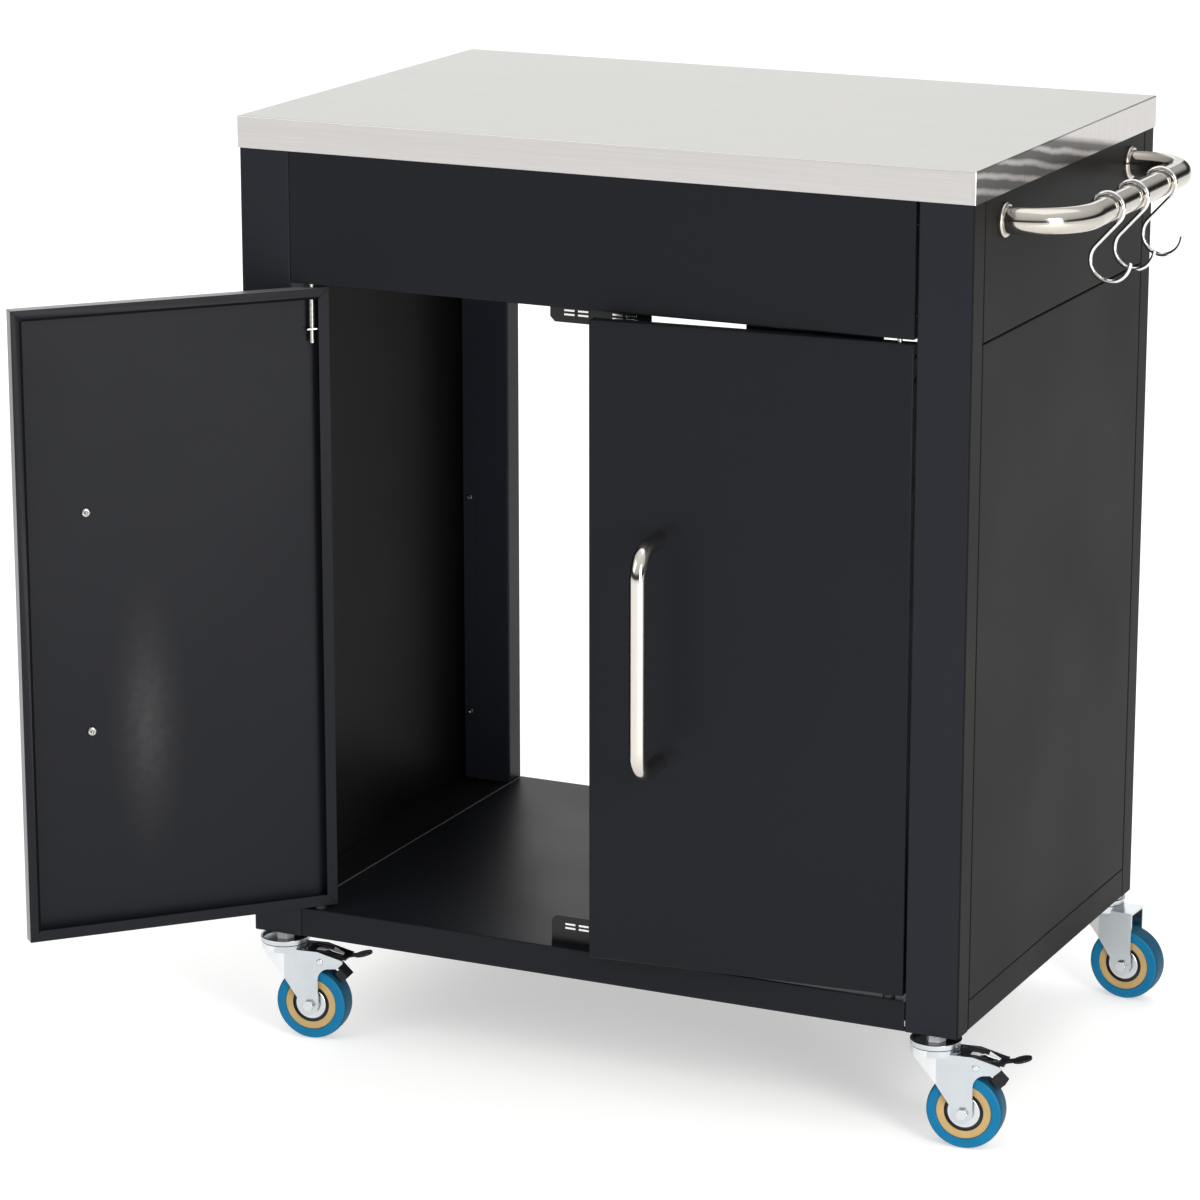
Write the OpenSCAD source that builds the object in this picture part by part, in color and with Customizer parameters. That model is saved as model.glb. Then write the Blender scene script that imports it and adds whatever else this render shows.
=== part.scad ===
// Kitchen cart: a sheet-steel cabinet on four swivel casters, with a stainless worktop,
// two doors on sprung pins, and a bent-tube handlebar that carries three hooks.
// +X is to the right, +Y to the back and +Z up. The origin is on the floor, under the
// middle of the cabinet. The left door stands wide open and the right one ajar.

/* [Cabinet] */
// Width of the cabinet over its side panels
body_w = 760; // [640:10:960]
// Depth of the cabinet over its front and rear
body_d = 500; // [440:10:640]
// Height from the feet of the posts to the worktop's top
body_h = 829; // [760:1:900]
// Thickness of the painted panels
sheet = 1; // [0.8:0.1:1.2]
// Width of a corner post, along the front
post_w = 54; // [48:1:64]
// Depth of a corner post, along the side
post_d = 28.5; // [28:0.5:36]
// Wall of a corner post
post_wall = 1.2; // [1:0.1:1.6]
// Thickness of the foot plate in a post
foot_t = 3; // [2:0.5:4]
// Width of the flanges folded along the panels
flange_w = 15; // [12:0.5:18]
// Seam left between a side panel and its posts
side_seam = 0.4; // [0.3:0.1:0.8]
// Seam left between the upper and lower side panels
level_seam = 1; // [0.6:0.1:2]

/* [Worktop] */
// Thickness of the stainless sheet
top_t = 1; // [0.8:0.1:1.5]
// Height of the skirt round the worktop
top_skirt = 31; // [25:1:40]
// Gap between the skirt and the cabinet
top_fit = 0.3; // [0.2:0.1:1]
// Depth of the channels under the worktop
stiffener_h = 14; // [10:1:20]
// Width of a channel's web
stiffener_w = 40; // [30:1:60]
// Distance between the two channels
stiffener_pitch = 190; // [150:5:240]
// Space between a channel's end and the side of the cabinet
stiffener_inset = 28; // [24:1:60]

/* [Fascia and side panels] */
// Height of the fascia that shows under the skirt
fascia_drop = 129; // [110:1:150]
// Seam at the fascia's left end
fascia_gap_left = 0.5; // [0.3:0.1:2]
// Seam at the fascia's right end
fascia_gap_right = 3; // [0.5:0.1:4]
// Height of the upper side panel that shows under the skirt
side_drop = 133; // [115:1:150]
// Width of the flange along the fascia's top
fascia_top_flange = 20; // [16:1:24]

/* [Shelf] */
// Height of the shelf over the feet of the posts
shelf_h = 30.5; // [28:0.5:40]
// Gap between the shelf and what stands beside it
shelf_fit = 0.3; // [0.2:0.1:0.8]
// Width of the lip under the shelf's front and rear folds
shelf_lip = 12; // [8:1:16]
// Height of the folds where the shelf meets the side rails
shelf_side = 20; // [16:1:22]

/* [Doors] */
// Thickness of a door
door_t = 14; // [13.5:0.5:16]
// Width of the lip folded round a door's inside
door_lip = 11; // [8:0.5:12]
// Gap between a door and its post
door_side_gap = 3.3; // [3:0.1:4]
// Gap between a door and the fascia
door_top_gap = 4; // [3:0.1:5]
// Gap between a door and the shelf
door_low_gap = 4; // [3:0.1:5]
// Gap between the two closed doors
door_mid_gap = 8.4; // [3:0.1:12]
// How far the left door stands open, in degrees
left_open = 132.5; // [0:0.5:132.5]
// How far the right door stands open, in degrees
right_open = 4.5; // [0:0.5:132.5]

/* [Hinges] */
// Radius of the hinge pins
pin_r = 2.4; // [2:0.1:2.6]
// Running clearance round a hinge pin
pin_fit = 0.1; // [0.05:0.01:0.1]
// Distance from a pin's axis to the post
pin_from_post = 19; // [18:0.5:22]
// Distance from a pin's axis to the door's face
pin_from_face = 7.5; // [7:0.1:7.8]
// How far the sprung pin enters the fascia
pin_reach = 6; // [4:0.5:8]
// Length of the sprung pin
pin_len = 65; // [60:1:75]
// Radius of the retaining clip on the sprung pin
clip_r = 4.8; // [4.2:0.1:5]
// Thickness of the retaining clip
clip_t = 1; // [0.8:0.1:1.2]
// Wire diameter of the hinge spring
spring_wire = 0.9; // [0.7:0.05:1]
// Mean diameter of the hinge spring
spring_d = 6.3; // [6.3:0.1:6.6]
// Turns of the hinge spring
spring_turns = 15; // [10:1:18]
// Length of the hinge spring
spring_len = 38; // [32:0.5:44]
// Thickness of the spring bracket
tab_t = 1.2; // [1:0.1:1.5]
// Width of the spring bracket
tab_w = 8; // [6:0.5:9]
// Length of the bracket's tab under the spring
tab_len = 20.5; // [19:0.5:24]
// Height of the bracket's leg on the door's edge
tab_leg = 33; // [30:1:40]
// Distance between the bracket's rivets
tab_rivet_pitch = 21.5; // [16:0.5:22]
// Radius of a bracket rivet
rivet_r = 1.6; // [1.2:0.1:1.8]
// Radius of the washer under a door
washer_r = 6; // [5:0.5:6.5]
// How far the lower pin enters a door
low_pin_reach = 9; // [6:0.5:12]

/* [Door handles] */
// Outer radius of the handle tube
handle_r = 8; // [6:0.5:9]
// Wall of the handle tube
handle_wall = 1.2; // [1:0.1:2]
// Distance between the handle's two ends
handle_pitch = 220; // [160:5:300]
// Distance from the door to the middle of the tube
handle_reach = 60; // [50:1:75]
// Bend radius at the middle of the tube
handle_bend = 28; // [24:1:40]
// Distance from the door's free edge to the handle
handle_inset = 72; // [50:1:90]
// Length of the threaded plug in each end of a handle
handle_plug = 12; // [10:1:16]

/* [Door catches] */
// Width of a catch bracket
catch_w = 106; // [96:1:120]
// Height of a catch bracket's plate
catch_h = 28; // [26:0.5:32]
// Depth of a catch bracket's foot
catch_foot = 20; // [18:0.5:26]
// Thickness of a catch bracket
catch_t = 1.2; // [1:0.1:1.5]
// Size of the corners cut off a catch bracket
catch_corner = 5; // [3:0.5:7]
// Gap between the magnets and a closed door
catch_gap = 0.5; // [0.3:0.1:0.8]
// How far the pole strips stand out of the plate
pole_proud = 0.5; // [0.3:0.1:0.8]
// Width of a magnet
magnet_w = 12; // [10:0.5:12.5]
// Depth of a magnet behind the plate
magnet_d = 8; // [6:0.5:9]
// Distance between a door's two magnets
magnet_pitch = 14.5; // [13.5:0.1:16]
// Distance from the middle to the nearest magnet
magnet_start = 18; // [14:0.5:20]
// Distance from the plate's free edge to the magnets
magnet_edge = 10; // [9:0.5:12]
// Thickness of a pole strip
pole_t = 2; // [1.5:0.1:2.4]
// Distance between the two strips of a magnet
pole_pitch = 4; // [3.5:0.1:5]

/* [Handlebar] */
// Outer radius of the handlebar tube
bar_r = 12.7; // [11:0.1:14]
// Wall of the handlebar tube
bar_wall = 1.5; // [1.2:0.1:2]
// Distance between the handlebar's two ends
bar_pitch = 350; // [300:5:360]
// Distance from the cabinet to the middle of the bar
bar_reach = 67; // [60:1:80]
// Bend radius at the middle of the tube
bar_bend = 56; // [45:1:58]
// Height of the bar below the worktop's top
bar_drop = 56; // [50:1:64]
// Radius of the flange ring at each end
bar_flange_r = 16.5; // [15:0.5:18]
// Thickness of a flange ring
bar_flange_t = 4.5; // [3:0.5:6]
// Gap between a flange ring and the tube
bar_flange_fit = 0.1; // [0.05:0.05:0.2]
// Length of the threaded plug in each end of the bar
bar_plug = 16; // [12:1:20]
// Radius of a handlebar bolt
bar_bolt_r = 4; // [3:0.5:4]

/* [Hooks] */
// Wire radius of a hook
hook_r = 2; // [1.5:0.1:2.5]
// Space inside the upper loop round the bar
hook_slack = 0.9; // [0.6:0.1:1.5]
// Inner radius of the lower loop
hook_low_r = 17.7; // [14:0.1:20]
// Drop from the bar to the middle of the lower loop
hook_drop = 49; // [44:1:60]
// How far the lower loop sits outward of the bar
hook_out = 3.5; // [1:0.5:5]
// Where the hooks hang along the bar, from the middle
hook_at = [-78, -9, 73]; // [-100:1:100]

/* [Casters] */
// Height from the floor to the feet of the posts
caster_h = 111; // [109:1:116]
// Radius of a wheel
wheel_r = 37.5; // [36:0.5:39]
// Width of a tyre
wheel_w = 24; // [22:0.5:25]
// Radius of the wheel's core
core_r = 27; // [25:0.5:29]
// Radius of the recess round a dust cap
recess_r = 19.2; // [18.5:0.1:20]
// Depth of that recess
recess_d = 3.5; // [3:0.1:4]
// Radius of a dust cap
cap_r = 16; // [15:0.5:17]
// Distance from the swivel's axis to the axle
trail = 31; // [28:0.5:34]
// Directions in which the four wheels trail: front left, front right, rear left, rear right
trail_angles = [8, 7, 4, -3]; // [-180:1:180]
// Distance between the fork's legs
fork_in = 28; // [27:0.5:30]
// Thickness of the fork
fork_t = 2.5; // [2:0.1:3]
// Width of a fork leg at the axle
leg_w = 22; // [20:0.5:25]
// How far a leg stands in front of the axle's middle
leg_lead = 1.5; // [0:0.5:2]
// Radius of the axle bolt
axle_r = 3; // [2.5:0.1:3.5]
// Outer radius of the sleeve on the axle
sleeve_r = 5; // [4.5:0.1:6]
// Running clearance in the wheels, the swivels and the pedals
run_fit = 0.1; // [0.05:0.01:0.1]
// Radius of the caster's stem
stem_r = 6; // [5:0.5:6]
// Width across the flats of the stem's hexagon
stem_hex = 17; // [15:0.5:19]
// Length of the thread over the foot plate
stem_thread = 16; // [13:1:20]
// Width across the flats of the nut in the post
nut_hex = 19; // [17:0.5:20]
// Height of that nut
nut_h = 9; // [7:0.5:10]
// Radius of the upper race dish
dish_r = 25; // [24.5:0.5:27]
// Height of the upper race dish
dish_h = 5; // [4.8:0.1:5.5]
// Height of the hexagon between the dish and the post
hex_h = 8.4; // [8:0.1:10]
// Radius of the swivel balls
ball_r = 2; // [1.8:0.1:2.1]
// Radius of the circle that the balls run on
ball_ring = 18; // [16:0.5:19]
// Balls in a swivel
ball_count = 12; // [8:1:14]

/* [Brakes] */
// Distance from the swivel's axis to the pedal's pivot
pivot_x = 43; // [42:0.5:44]
// Height of the pedal's pivot
pivot_z = 84.5; // [84:0.5:85.5]
// Radius of the pedal's rivet
pivot_r = 2.5; // [2:0.1:2.8]
// Width of the pedal
pedal_w = 25; // [22:0.5:25.5]
// Thickness of the pedal's plate
pedal_t = 2; // [1.5:0.1:2.2]
// Length of the pedal's foot piece
pedal_toe = 26; // [20:1:30]
// Gap between the brake shoe and the tyre
shoe_gap = 4; // [3.8:0.1:4.5]
// Depth of the brake shoe
shoe_d = 6.5; // [5:0.5:7]
// Length of the brake shoe
shoe_len = 12; // [10:0.5:16]
// Width of the brake shoe
shoe_w = 17; // [14:0.5:20]
// Radius of the arch under a braked leg's tail
arch_r = 13; // [11:0.5:14]
// Height of that arch's top
arch_z = 78; // [77:0.5:79]
// Distance from the swivel's axis to the end of the tail
tail_x = 67; // [64:0.5:70]
// Height of the tail's end
tail_h = 3.5; // [2:0.5:5]

/* [Screws] */
// Shank radius of a panel screw
screw_r = 1.9; // [1.5:0.1:2.2]
// Head radius of a panel screw
screw_head_r = 3.6; // [3:0.1:4]
// Head height of a panel screw
screw_head_h = 2; // [1.5:0.1:2.4]
// Shank length of a panel screw
screw_len = 8; // [6:0.5:10]
// Clearance round a screw in its hole
screw_fit = 0.15; // [0.1:0.05:0.3]
// Distance between the screws up a lower side panel
screw_pitch = 241; // [180:1:250]
// Distance between the screws up an upper panel
screw_pitch_upper = 84; // [70:1:96]
// Distance between the two screws along a shelf edge
screw_pitch_shelf = 240; // [180:5:300]
// Distance between the two screws of a catch bracket
screw_pitch_catch = 84; // [76:1:88]

/* [Hidden] */
$fn = 48;
// Levels, from the floor up
feet_z = caster_h;
shelf_z = feet_z + shelf_h;
top_z = feet_z + body_h;
under_top_z = top_z - top_t;
skirt_z = top_z - top_skirt;
fascia_z = skirt_z - fascia_drop;
seam_z = skirt_z - side_drop;
bar_z = top_z - bar_drop;
door_low_z = shelf_z + door_low_gap;
door_high_z = fascia_z - door_top_gap;
door_mid_z = (door_low_z + door_high_z) / 2;
// Lines across the cabinet
inner_x = body_w / 2 - post_w;
front_y = -body_d / 2;
post_back_y = front_y + post_d;
post_mid_x = body_w / 2 - post_w / 2;
post_mid_y = body_d / 2 - post_d / 2;
// Doors, as the right one stands when it is closed
hinge_x = inner_x - door_side_gap;
free_x = door_mid_gap / 2;
pin_x = inner_x - pin_from_post;
pin_y = front_y + pin_from_face;
lip_y = front_y + door_t;
// Sprung pins
clip_play = 0.3;
clip_z = door_high_z - sheet - clip_t - clip_play;
spring_top_z = clip_z;
spring_low_z = spring_top_z - spring_len;
tab_z = spring_low_z - tab_t;
pin_tip_z = fascia_z + pin_reach;
// Catches: the fascia's lip and both plates lie behind the closed doors
pole_y = lip_y + catch_gap;
catch_y = pole_y + pole_proud;
fascia_flange = catch_y - front_y;
catch_low_z = shelf_z;
catch_below = 4;
catch_high_z = fascia_z + fascia_flange - catch_below;
// Handlebar and hooks
bar_x = body_w / 2 + bar_reach;
hook_up_r = bar_r + hook_slack + hook_r;
hook_bottom_r = hook_low_r + hook_r;
hook_up_at = [0, 0.3 - hook_slack];
hook_low_at = [hook_out, -hook_drop];
// The straight shank and the tips start inside the arcs, a hair thinner than they are
hook_lap = 0.4;
hook_step = 0.03;
// Casters
race_gap = 1;
lower_race_h = 4;
dish_z = feet_z - hex_h - dish_h + 2.4;
ball_z = dish_z - race_gap / 2;
race_z = dish_z - race_gap;
plate_z = race_z - lower_race_h;
head_gap = 0.3;
head_z = plate_z - fork_t - head_gap;
fork_out = fork_in / 2 + fork_t;
leg_mid = trail - leg_lead;
leg_front = leg_mid - leg_w / 2;
leg_back = leg_mid + leg_w / 2;
shoe_in = wheel_r + shoe_gap;
corner_names = ["front_left", "front_right", "rear_left", "rear_right"];
corner_sides = [[-1, -1], [1, -1], [-1, 1], [1, 1]];

// A box between two corners
module block(low, high) {
    translate(low) cube(high - low);
}

// Everything that follows, on the right for 1 and mirrored to the left for -1
module on_side(side) {
    if (side > 0) children();
    else mirror([1, 0, 0]) children();
}

// The same for the front (-1) and the rear (1)
module on_end(end) {
    if (end < 0) children();
    else mirror([0, 1, 0]) children();
}

// A hexagon across its flats, extruded
module hexagon(flats, h) {
    cylinder(r = flats / 2 / cos(30), h = h, $fn = 6);
}

// A hole through a sheet, centred on it
module hole(at, axis, r, depth = 20) {
    translate(at) rotate(axis) cylinder(r = r, h = depth, center = true);
}

along_x = [0, 90, 0];
along_y = [90, 0, 0];
along_z = [0, 0, 0];

// Screws. Each place holds a point on the head's seat and the way that the shank goes.
screw_x = body_w / 2 - sheet - flange_w / 2;
seat_y = body_d / 2 - post_d - side_seam - sheet;
lower_mid_z = (shelf_z + seam_z) / 2;
upper_mid_z = (seam_z + skirt_z) / 2;
side_screw_zs = [
    lower_mid_z - screw_pitch, lower_mid_z, lower_mid_z + screw_pitch,
    upper_mid_z - screw_pitch_upper / 2, upper_mid_z + screw_pitch_upper / 2
];
fascia_mid_z = (fascia_z + skirt_z) / 2;
fascia_screw_zs = [
    fascia_mid_z - screw_pitch_upper / 2, fascia_mid_z + screw_pitch_upper / 2
];
fascia_screw_y = front_y + fascia_flange / 2;
shelf_screw_z = shelf_z - shelf_side / 2;
catch_screw_z = catch_high_z - catch_t - screw_head_r - 0.4;
catch_screw_y = catch_y + catch_t + catch_foot / 2;

module side_screws(side, end) {
    for (z = side_screw_zs)
        translate([side * screw_x, end * seat_y, z]) rotate([-90 * end, 0, 0]) children();
}

module fascia_screws(side, end, gap) {
    for (z = fascia_screw_zs)
        translate([side * (inner_x - gap - sheet), -end * fascia_screw_y, z])
            rotate([0, 90 * side, 0]) children();
}

module shelf_screws(side) {
    for (y = [-screw_pitch_shelf / 2, screw_pitch_shelf / 2])
        translate([side * (inner_x - shelf_fit - sheet), y, shelf_screw_z])
            rotate([0, 90 * side, 0]) children();
}

module catch_screws() {
    for (x = [-screw_pitch_catch / 2, screw_pitch_catch / 2]) {
        translate([x, catch_y + catch_t, catch_screw_z]) rotate([90, 0, 0]) children();
        translate([x, catch_screw_y, shelf_z + catch_t]) rotate([180, 0, 0]) children();
    }
}

module screw_hole() {
    translate([0, 0, -1]) cylinder(r = screw_r + screw_fit, h = screw_len + 3);
}

module screw() {
    translate([0, 0, -0.1]) cylinder(r = screw_r, h = screw_len + 0.1);
    rotate([180, 0, 0]) cylinder(r1 = screw_head_r, r2 = screw_head_r - 1, h = screw_head_h);
}

module panel_screws() {
    color("silver") {
        for (side = [-1, 1]) {
            for (end = [-1, 1]) side_screws(side, end) screw();
            fascia_screws(side, 1, 0.5) screw();
            shelf_screws(side) screw();
        }
        fascia_screws(-1, -1, fascia_gap_left) screw();
        fascia_screws(1, -1, fascia_gap_right) screw();
        catch_screws() screw();
    }
}

// Worktop: a pan of stainless sheet, open below, over two channels
module worktop() {
    half = [body_w / 2 + top_fit, body_d / 2 + top_fit];
    color("gainsboro") difference() {
        block([-half.x - top_t, -half.y - top_t, skirt_z], [half.x + top_t, half.y + top_t, top_z]);
        block([-half.x, -half.y, skirt_z - 1], [half.x, half.y, under_top_z]);
    }
}

module worktop_stiffeners() {
    half_l = body_w / 2 - stiffener_inset;
    rim = 10;
    low = under_top_z - stiffener_h;
    color("gray") for (y = [-stiffener_pitch / 2, stiffener_pitch / 2]) translate([0, y, 0]) {
        block([-half_l, -stiffener_w / 2, low], [half_l, stiffener_w / 2, low + sheet]);
        for (s = [-1, 1]) translate([0, s * (stiffener_w - sheet) / 2, 0]) {
            block([-half_l, -sheet / 2, low], [half_l, sheet / 2, under_top_z]);
            translate([0, s * (rim - sheet) / 2, 0])
                block([-half_l, -rim / 2, under_top_z - sheet], [half_l, rim / 2, under_top_z]);
        }
    }
}

// Corner post: a folded box with a foot plate, here the front right one
module post_shape() {
    color("#26262a") difference() {
        block([inner_x, front_y, feet_z], [body_w / 2, post_back_y, under_top_z]);
        block([inner_x + post_wall, front_y + post_wall, feet_z + foot_t],
            [body_w / 2 - post_wall, post_back_y - post_wall, under_top_z + 1]);
        hole([post_mid_x, -post_mid_y, feet_z], along_z, stem_r + run_fit);
        side_screws(1, -1) screw_hole();
        fascia_screws(1, -1, 0.5) screw_hole();
    }
}

module post_front_left() {
    mirror([1, 0, 0]) post_shape();
}

module post_front_right() {
    post_shape();
}

module post_rear_left() {
    mirror([1, 0, 0]) mirror([0, 1, 0]) post_shape();
}

module post_rear_right() {
    mirror([0, 1, 0]) post_shape();
}

// Upper panel between two posts, with flanges all round and a lip that carries a catch
module upper_panel(gap_left, gap_right) {
    left = gap_left - inner_x;
    right = inner_x - gap_right;
    back = front_y + fascia_flange;
    block([left, front_y, fascia_z], [right, front_y + sheet, under_top_z]);
    block([left, front_y, fascia_z], [right, back, fascia_z + sheet]);
    block([left, back - sheet, fascia_z], [right, back, fascia_z + fascia_flange]);
    block([left, front_y, under_top_z - sheet],
        [right, front_y + fascia_top_flange, under_top_z]);
    block([left, front_y, fascia_z], [left + sheet, back, under_top_z]);
    block([right - sheet, front_y, fascia_z], [right, back, under_top_z]);
}

module fascia() {
    color("#232327") difference() {
        upper_panel(fascia_gap_left, fascia_gap_right);
        for (side = [-1, 1])
            hole([side * pin_x, pin_y, fascia_z], along_z, pin_r + pin_fit, 8);
        fascia_screws(-1, -1, fascia_gap_left) screw_hole();
        fascia_screws(1, -1, fascia_gap_right) screw_hole();
        catch_screws() screw_hole();
    }
}

module rear_upper_panel() {
    color("#232327") difference() {
        mirror([0, 1, 0]) upper_panel(0.5, 0.5);
        for (side = [-1, 1]) fascia_screws(side, 1, 0.5) screw_hole();
    }
}

// Side panel: a sheet with four flanges turned inward, here a right one
module side_panel(low, high) {
    half_y = body_d / 2 - post_d - side_seam;
    outer = body_w / 2;
    inner = outer - sheet - flange_w;
    difference() {
        block([inner, -half_y, low], [outer, half_y, high]);
        block([inner - 1, -half_y + sheet, low + sheet], [outer - sheet, half_y - sheet, high - sheet]);
        block([inner - 1, -half_y + flange_w, low - 1],
            [outer - sheet, half_y - flange_w, low + sheet + 1]);
        for (end = [-1, 1]) side_screws(1, end) screw_hole();
    }
    block([inner, -half_y, low], [outer, half_y, low + sheet]);
}

module upper_side_panel_right() {
    color("#2a2926") difference() {
        side_panel(seam_z + level_seam / 2, under_top_z);
        for (end = [-1, 1])
            hole([body_w / 2, end * bar_pitch / 2, bar_z], along_x, bar_bolt_r + bar_bolt_fit);
    }
}

module upper_side_panel_left() {
    color("#2a2926") mirror([1, 0, 0]) side_panel(seam_z + level_seam / 2, under_top_z);
}

module lower_side_panel_left() {
    color("#2a2926") mirror([1, 0, 0]) side_panel(shelf_z, seam_z - level_seam / 2);
}

module lower_side_panel_right() {
    color("#2a2926") side_panel(shelf_z, seam_z - level_seam / 2);
}

// Side base rail: a ledge under the side panel, folded down beside the shelf
module side_base_rails() {
    half_y = body_d / 2 - post_d - side_seam;
    color("#2a2926") for (side = [-1, 1]) on_side(side) difference() {
        union() {
            block([body_w / 2 - sheet, -half_y, feet_z], [body_w / 2, half_y, shelf_z]);
            block([inner_x, -half_y, shelf_z - sheet], [body_w / 2, half_y, shelf_z]);
            block([inner_x, -half_y, shelf_z - shelf_side], [inner_x + sheet, half_y, shelf_z]);
            block([body_w / 2 - flange_w, -half_y, feet_z], [body_w / 2, half_y, feet_z + sheet]);
        }
        shelf_screws(1) screw_hole();
    }
}

// Shelf: one pan whose front and rear folds are the cabinet's bottom rails
module shelf() {
    half_x = inner_x - shelf_fit;
    color("#232327") difference() {
        union() {
            block([-half_x, front_y, shelf_z - sheet], [half_x, -front_y, shelf_z]);
            for (end = [-1, 1]) on_end(end) {
                block([-half_x, front_y, feet_z], [half_x, front_y + sheet, shelf_z]);
                block([-half_x, front_y, feet_z], [half_x, front_y + shelf_lip, feet_z + sheet]);
            }
            for (side = [-1, 1]) on_side(side)
                block([half_x - sheet, front_y, shelf_z - shelf_side], [half_x, -front_y, shelf_z]);
        }
        for (side = [-1, 1]) {
            shelf_screws(side) screw_hole();
            hole([side * pin_x, pin_y, shelf_z], along_z, pin_r + 0.05);
        }
        catch_screws() screw_hole();
    }
}

// Catch bracket: an L whose plate stands behind both doors, here the one on the shelf
module catch_plate() {
    half = catch_w / 2;
    edge = catch_h - catch_corner;
    translate([0, catch_y + catch_t, 0]) rotate([90, 0, 0]) linear_extrude(catch_t) polygon([
        [-half, 0], [half, 0], [half, edge], [half - catch_corner, catch_h],
        [catch_corner - half, catch_h], [-half, edge]
    ]);
    block([-half, catch_y, 0], [half, catch_y + catch_t + catch_foot, catch_t]);
}

// Both brackets' places: on the shelf, and upside down behind the fascia's lip
module at_catches() {
    translate([0, 0, catch_low_z]) children();
    translate([0, 0, catch_high_z]) mirror([0, 0, 1]) children();
}

module at_magnets() {
    for (side = [-1, 1], i = [0, 1])
        translate([side * (magnet_start + i * magnet_pitch), 0, catch_h - magnet_edge]) children();
}

module pole_strip(width, grow) {
    for (s = [-1, 1]) translate([0, 0, s * pole_pitch / 2])
        block([-width / 2, pole_y - grow, -pole_t / 2 - grow],
            [width / 2, catch_y + catch_t + grow, pole_t / 2 + grow]);
}

module catch_brackets() {
    color("#18181a") difference() {
        at_catches() difference() {
            catch_plate();
            at_magnets() pole_strip(magnet_w - 0.8, 0.1);
        }
        catch_screws() screw_hole();
    }
}

module catch_magnets() {
    color("whitesmoke") at_catches() at_magnets() {
        pole_strip(magnet_w - 1, 0);
        block([-magnet_w / 2, catch_y + catch_t, -pole_pitch],
            [magnet_w / 2, catch_y + catch_t + magnet_d, pole_pitch]);
    }
}

// A round tube bent like a U: two legs from x = 0 out to reach, and a straight bar between.
// The plugs close both ends of its bore.
module bent_tube(r, wall, reach, pitch, bend, plug) {
    leg = reach - bend;
    straight = pitch / 2 - bend;
    for (s = [-1, 1]) {
        translate([0, s * pitch / 2, 0]) rotate(along_x) difference() {
            cylinder(r = r, h = leg);
            translate([0, 0, min(plug, leg - 1)]) cylinder(r = r - wall, h = leg);
        }
        translate([leg, s * straight, 0]) rotate([0, 0, s > 0 ? 0 : -90])
            rotate_extrude(angle = 90) translate([bend, 0]) tube_ring(r, wall);
    }
    translate([reach, straight, 0]) rotate(along_y) linear_extrude(2 * straight) tube_ring(r, wall);
}

module tube_ring(r, wall) {
    difference() {
        circle(r);
        circle(r - wall);
    }
}

// Handlebar on the right side panel, held by a bolt from inside at each end
bar_bolt_fit = 0.1;
bar_bore = bar_plug - 4;

module handlebar() {
    color("silver") translate([body_w / 2, 0, bar_z]) difference() {
        bent_tube(bar_r, bar_wall, bar_reach, bar_pitch, bar_bend, bar_plug);
        for (s = [-1, 1])
            hole([0, s * bar_pitch / 2, 0], along_x, bar_bolt_r + bar_bolt_fit, 2 * bar_bore);
    }
}

module handlebar_flanges() {
    color("silver") for (s = [-1, 1])
        translate([body_w / 2, s * bar_pitch / 2, bar_z]) rotate(along_x) difference() {
            union() {
                cylinder(r = bar_flange_r, h = bar_flange_t - 1);
                cylinder(r = bar_flange_r - 1, h = bar_flange_t);
            }
            translate([0, 0, -1]) cylinder(r = bar_r + bar_flange_fit, h = bar_flange_t + 2);
        }
}

module handlebar_bolts() {
    head_h = 5;
    washer_t = 1.5;
    color("silver") for (s = [-1, 1])
        translate([body_w / 2 - sheet, s * bar_pitch / 2, bar_z]) rotate(along_x) {
            translate([0, 0, -washer_t]) cylinder(r = bar_bolt_r + 5, h = washer_t);
            translate([0, 0, -washer_t - head_h]) hexagon(3.25 * bar_bolt_r, head_h);
            cylinder(r = bar_bolt_r, h = sheet + bar_bore - 2);
        }
}

// A hook of round wire in the X-Z plane: an upper loop over the bar, a slanted shank
// that touches both loops, and a lower loop that opens outward
module hook_wire() {
    across = hook_low_at - hook_up_at;
    line = atan2(across.y, across.x);
    turn = acos((hook_up_r + hook_bottom_r) / norm(across));
    up_end = line + turn;
    low_start = up_end + 180;
    up_tip = 158;
    low_tip = 356;
    from = hook_up_at + hook_up_r * [cos(up_end), sin(up_end)];
    to = hook_low_at + hook_bottom_r * [cos(low_start), sin(low_start)];
    shank = to - from;
    wire_arc(hook_up_at, hook_up_r, up_end, up_tip);
    wire_arc(hook_low_at, hook_bottom_r, low_start, low_tip);
    translate([from.x, from.y, 0]) rotate([0, 0, atan2(shank.y, shank.x)]) rotate(along_x)
        translate([0, 0, -hook_lap]) cylinder(r = hook_r - hook_step, h = norm(shank) + 2 * hook_lap);
}

// An arc of the wire from the shank to its tip, with the tip's edge taken off
module wire_arc(at, radius, from, to) {
    translate([at.x, at.y, 0]) {
        rotate([0, 0, from]) rotate_extrude(angle = to - from)
            translate([radius, 0]) circle(hook_r);
        rotate([0, 0, to]) translate([radius, -hook_lap, 0]) rotate([-90, 0, 0])
            cylinder(r1 = hook_r - hook_step, r2 = hook_r - 0.9, h = hook_lap + 0.9);
    }
}

module hook(i) {
    color("gainsboro") translate([bar_x, hook_at[i], bar_z]) rotate([90, 0, 0]) hook_wire();
}

module hook_front() {
    hook(0);
}

module hook_middle() {
    hook(1);
}

module hook_rear() {
    hook(2);
}

// Turns a closed right door, or its mirror image on the left, to where it stands
module at_door(side) {
    open = side > 0 ? right_open : left_open;
    on_side(side) translate([pin_x, pin_y, 0]) rotate([0, 0, open]) translate([-pin_x, -pin_y, 0])
        children();
}

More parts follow.
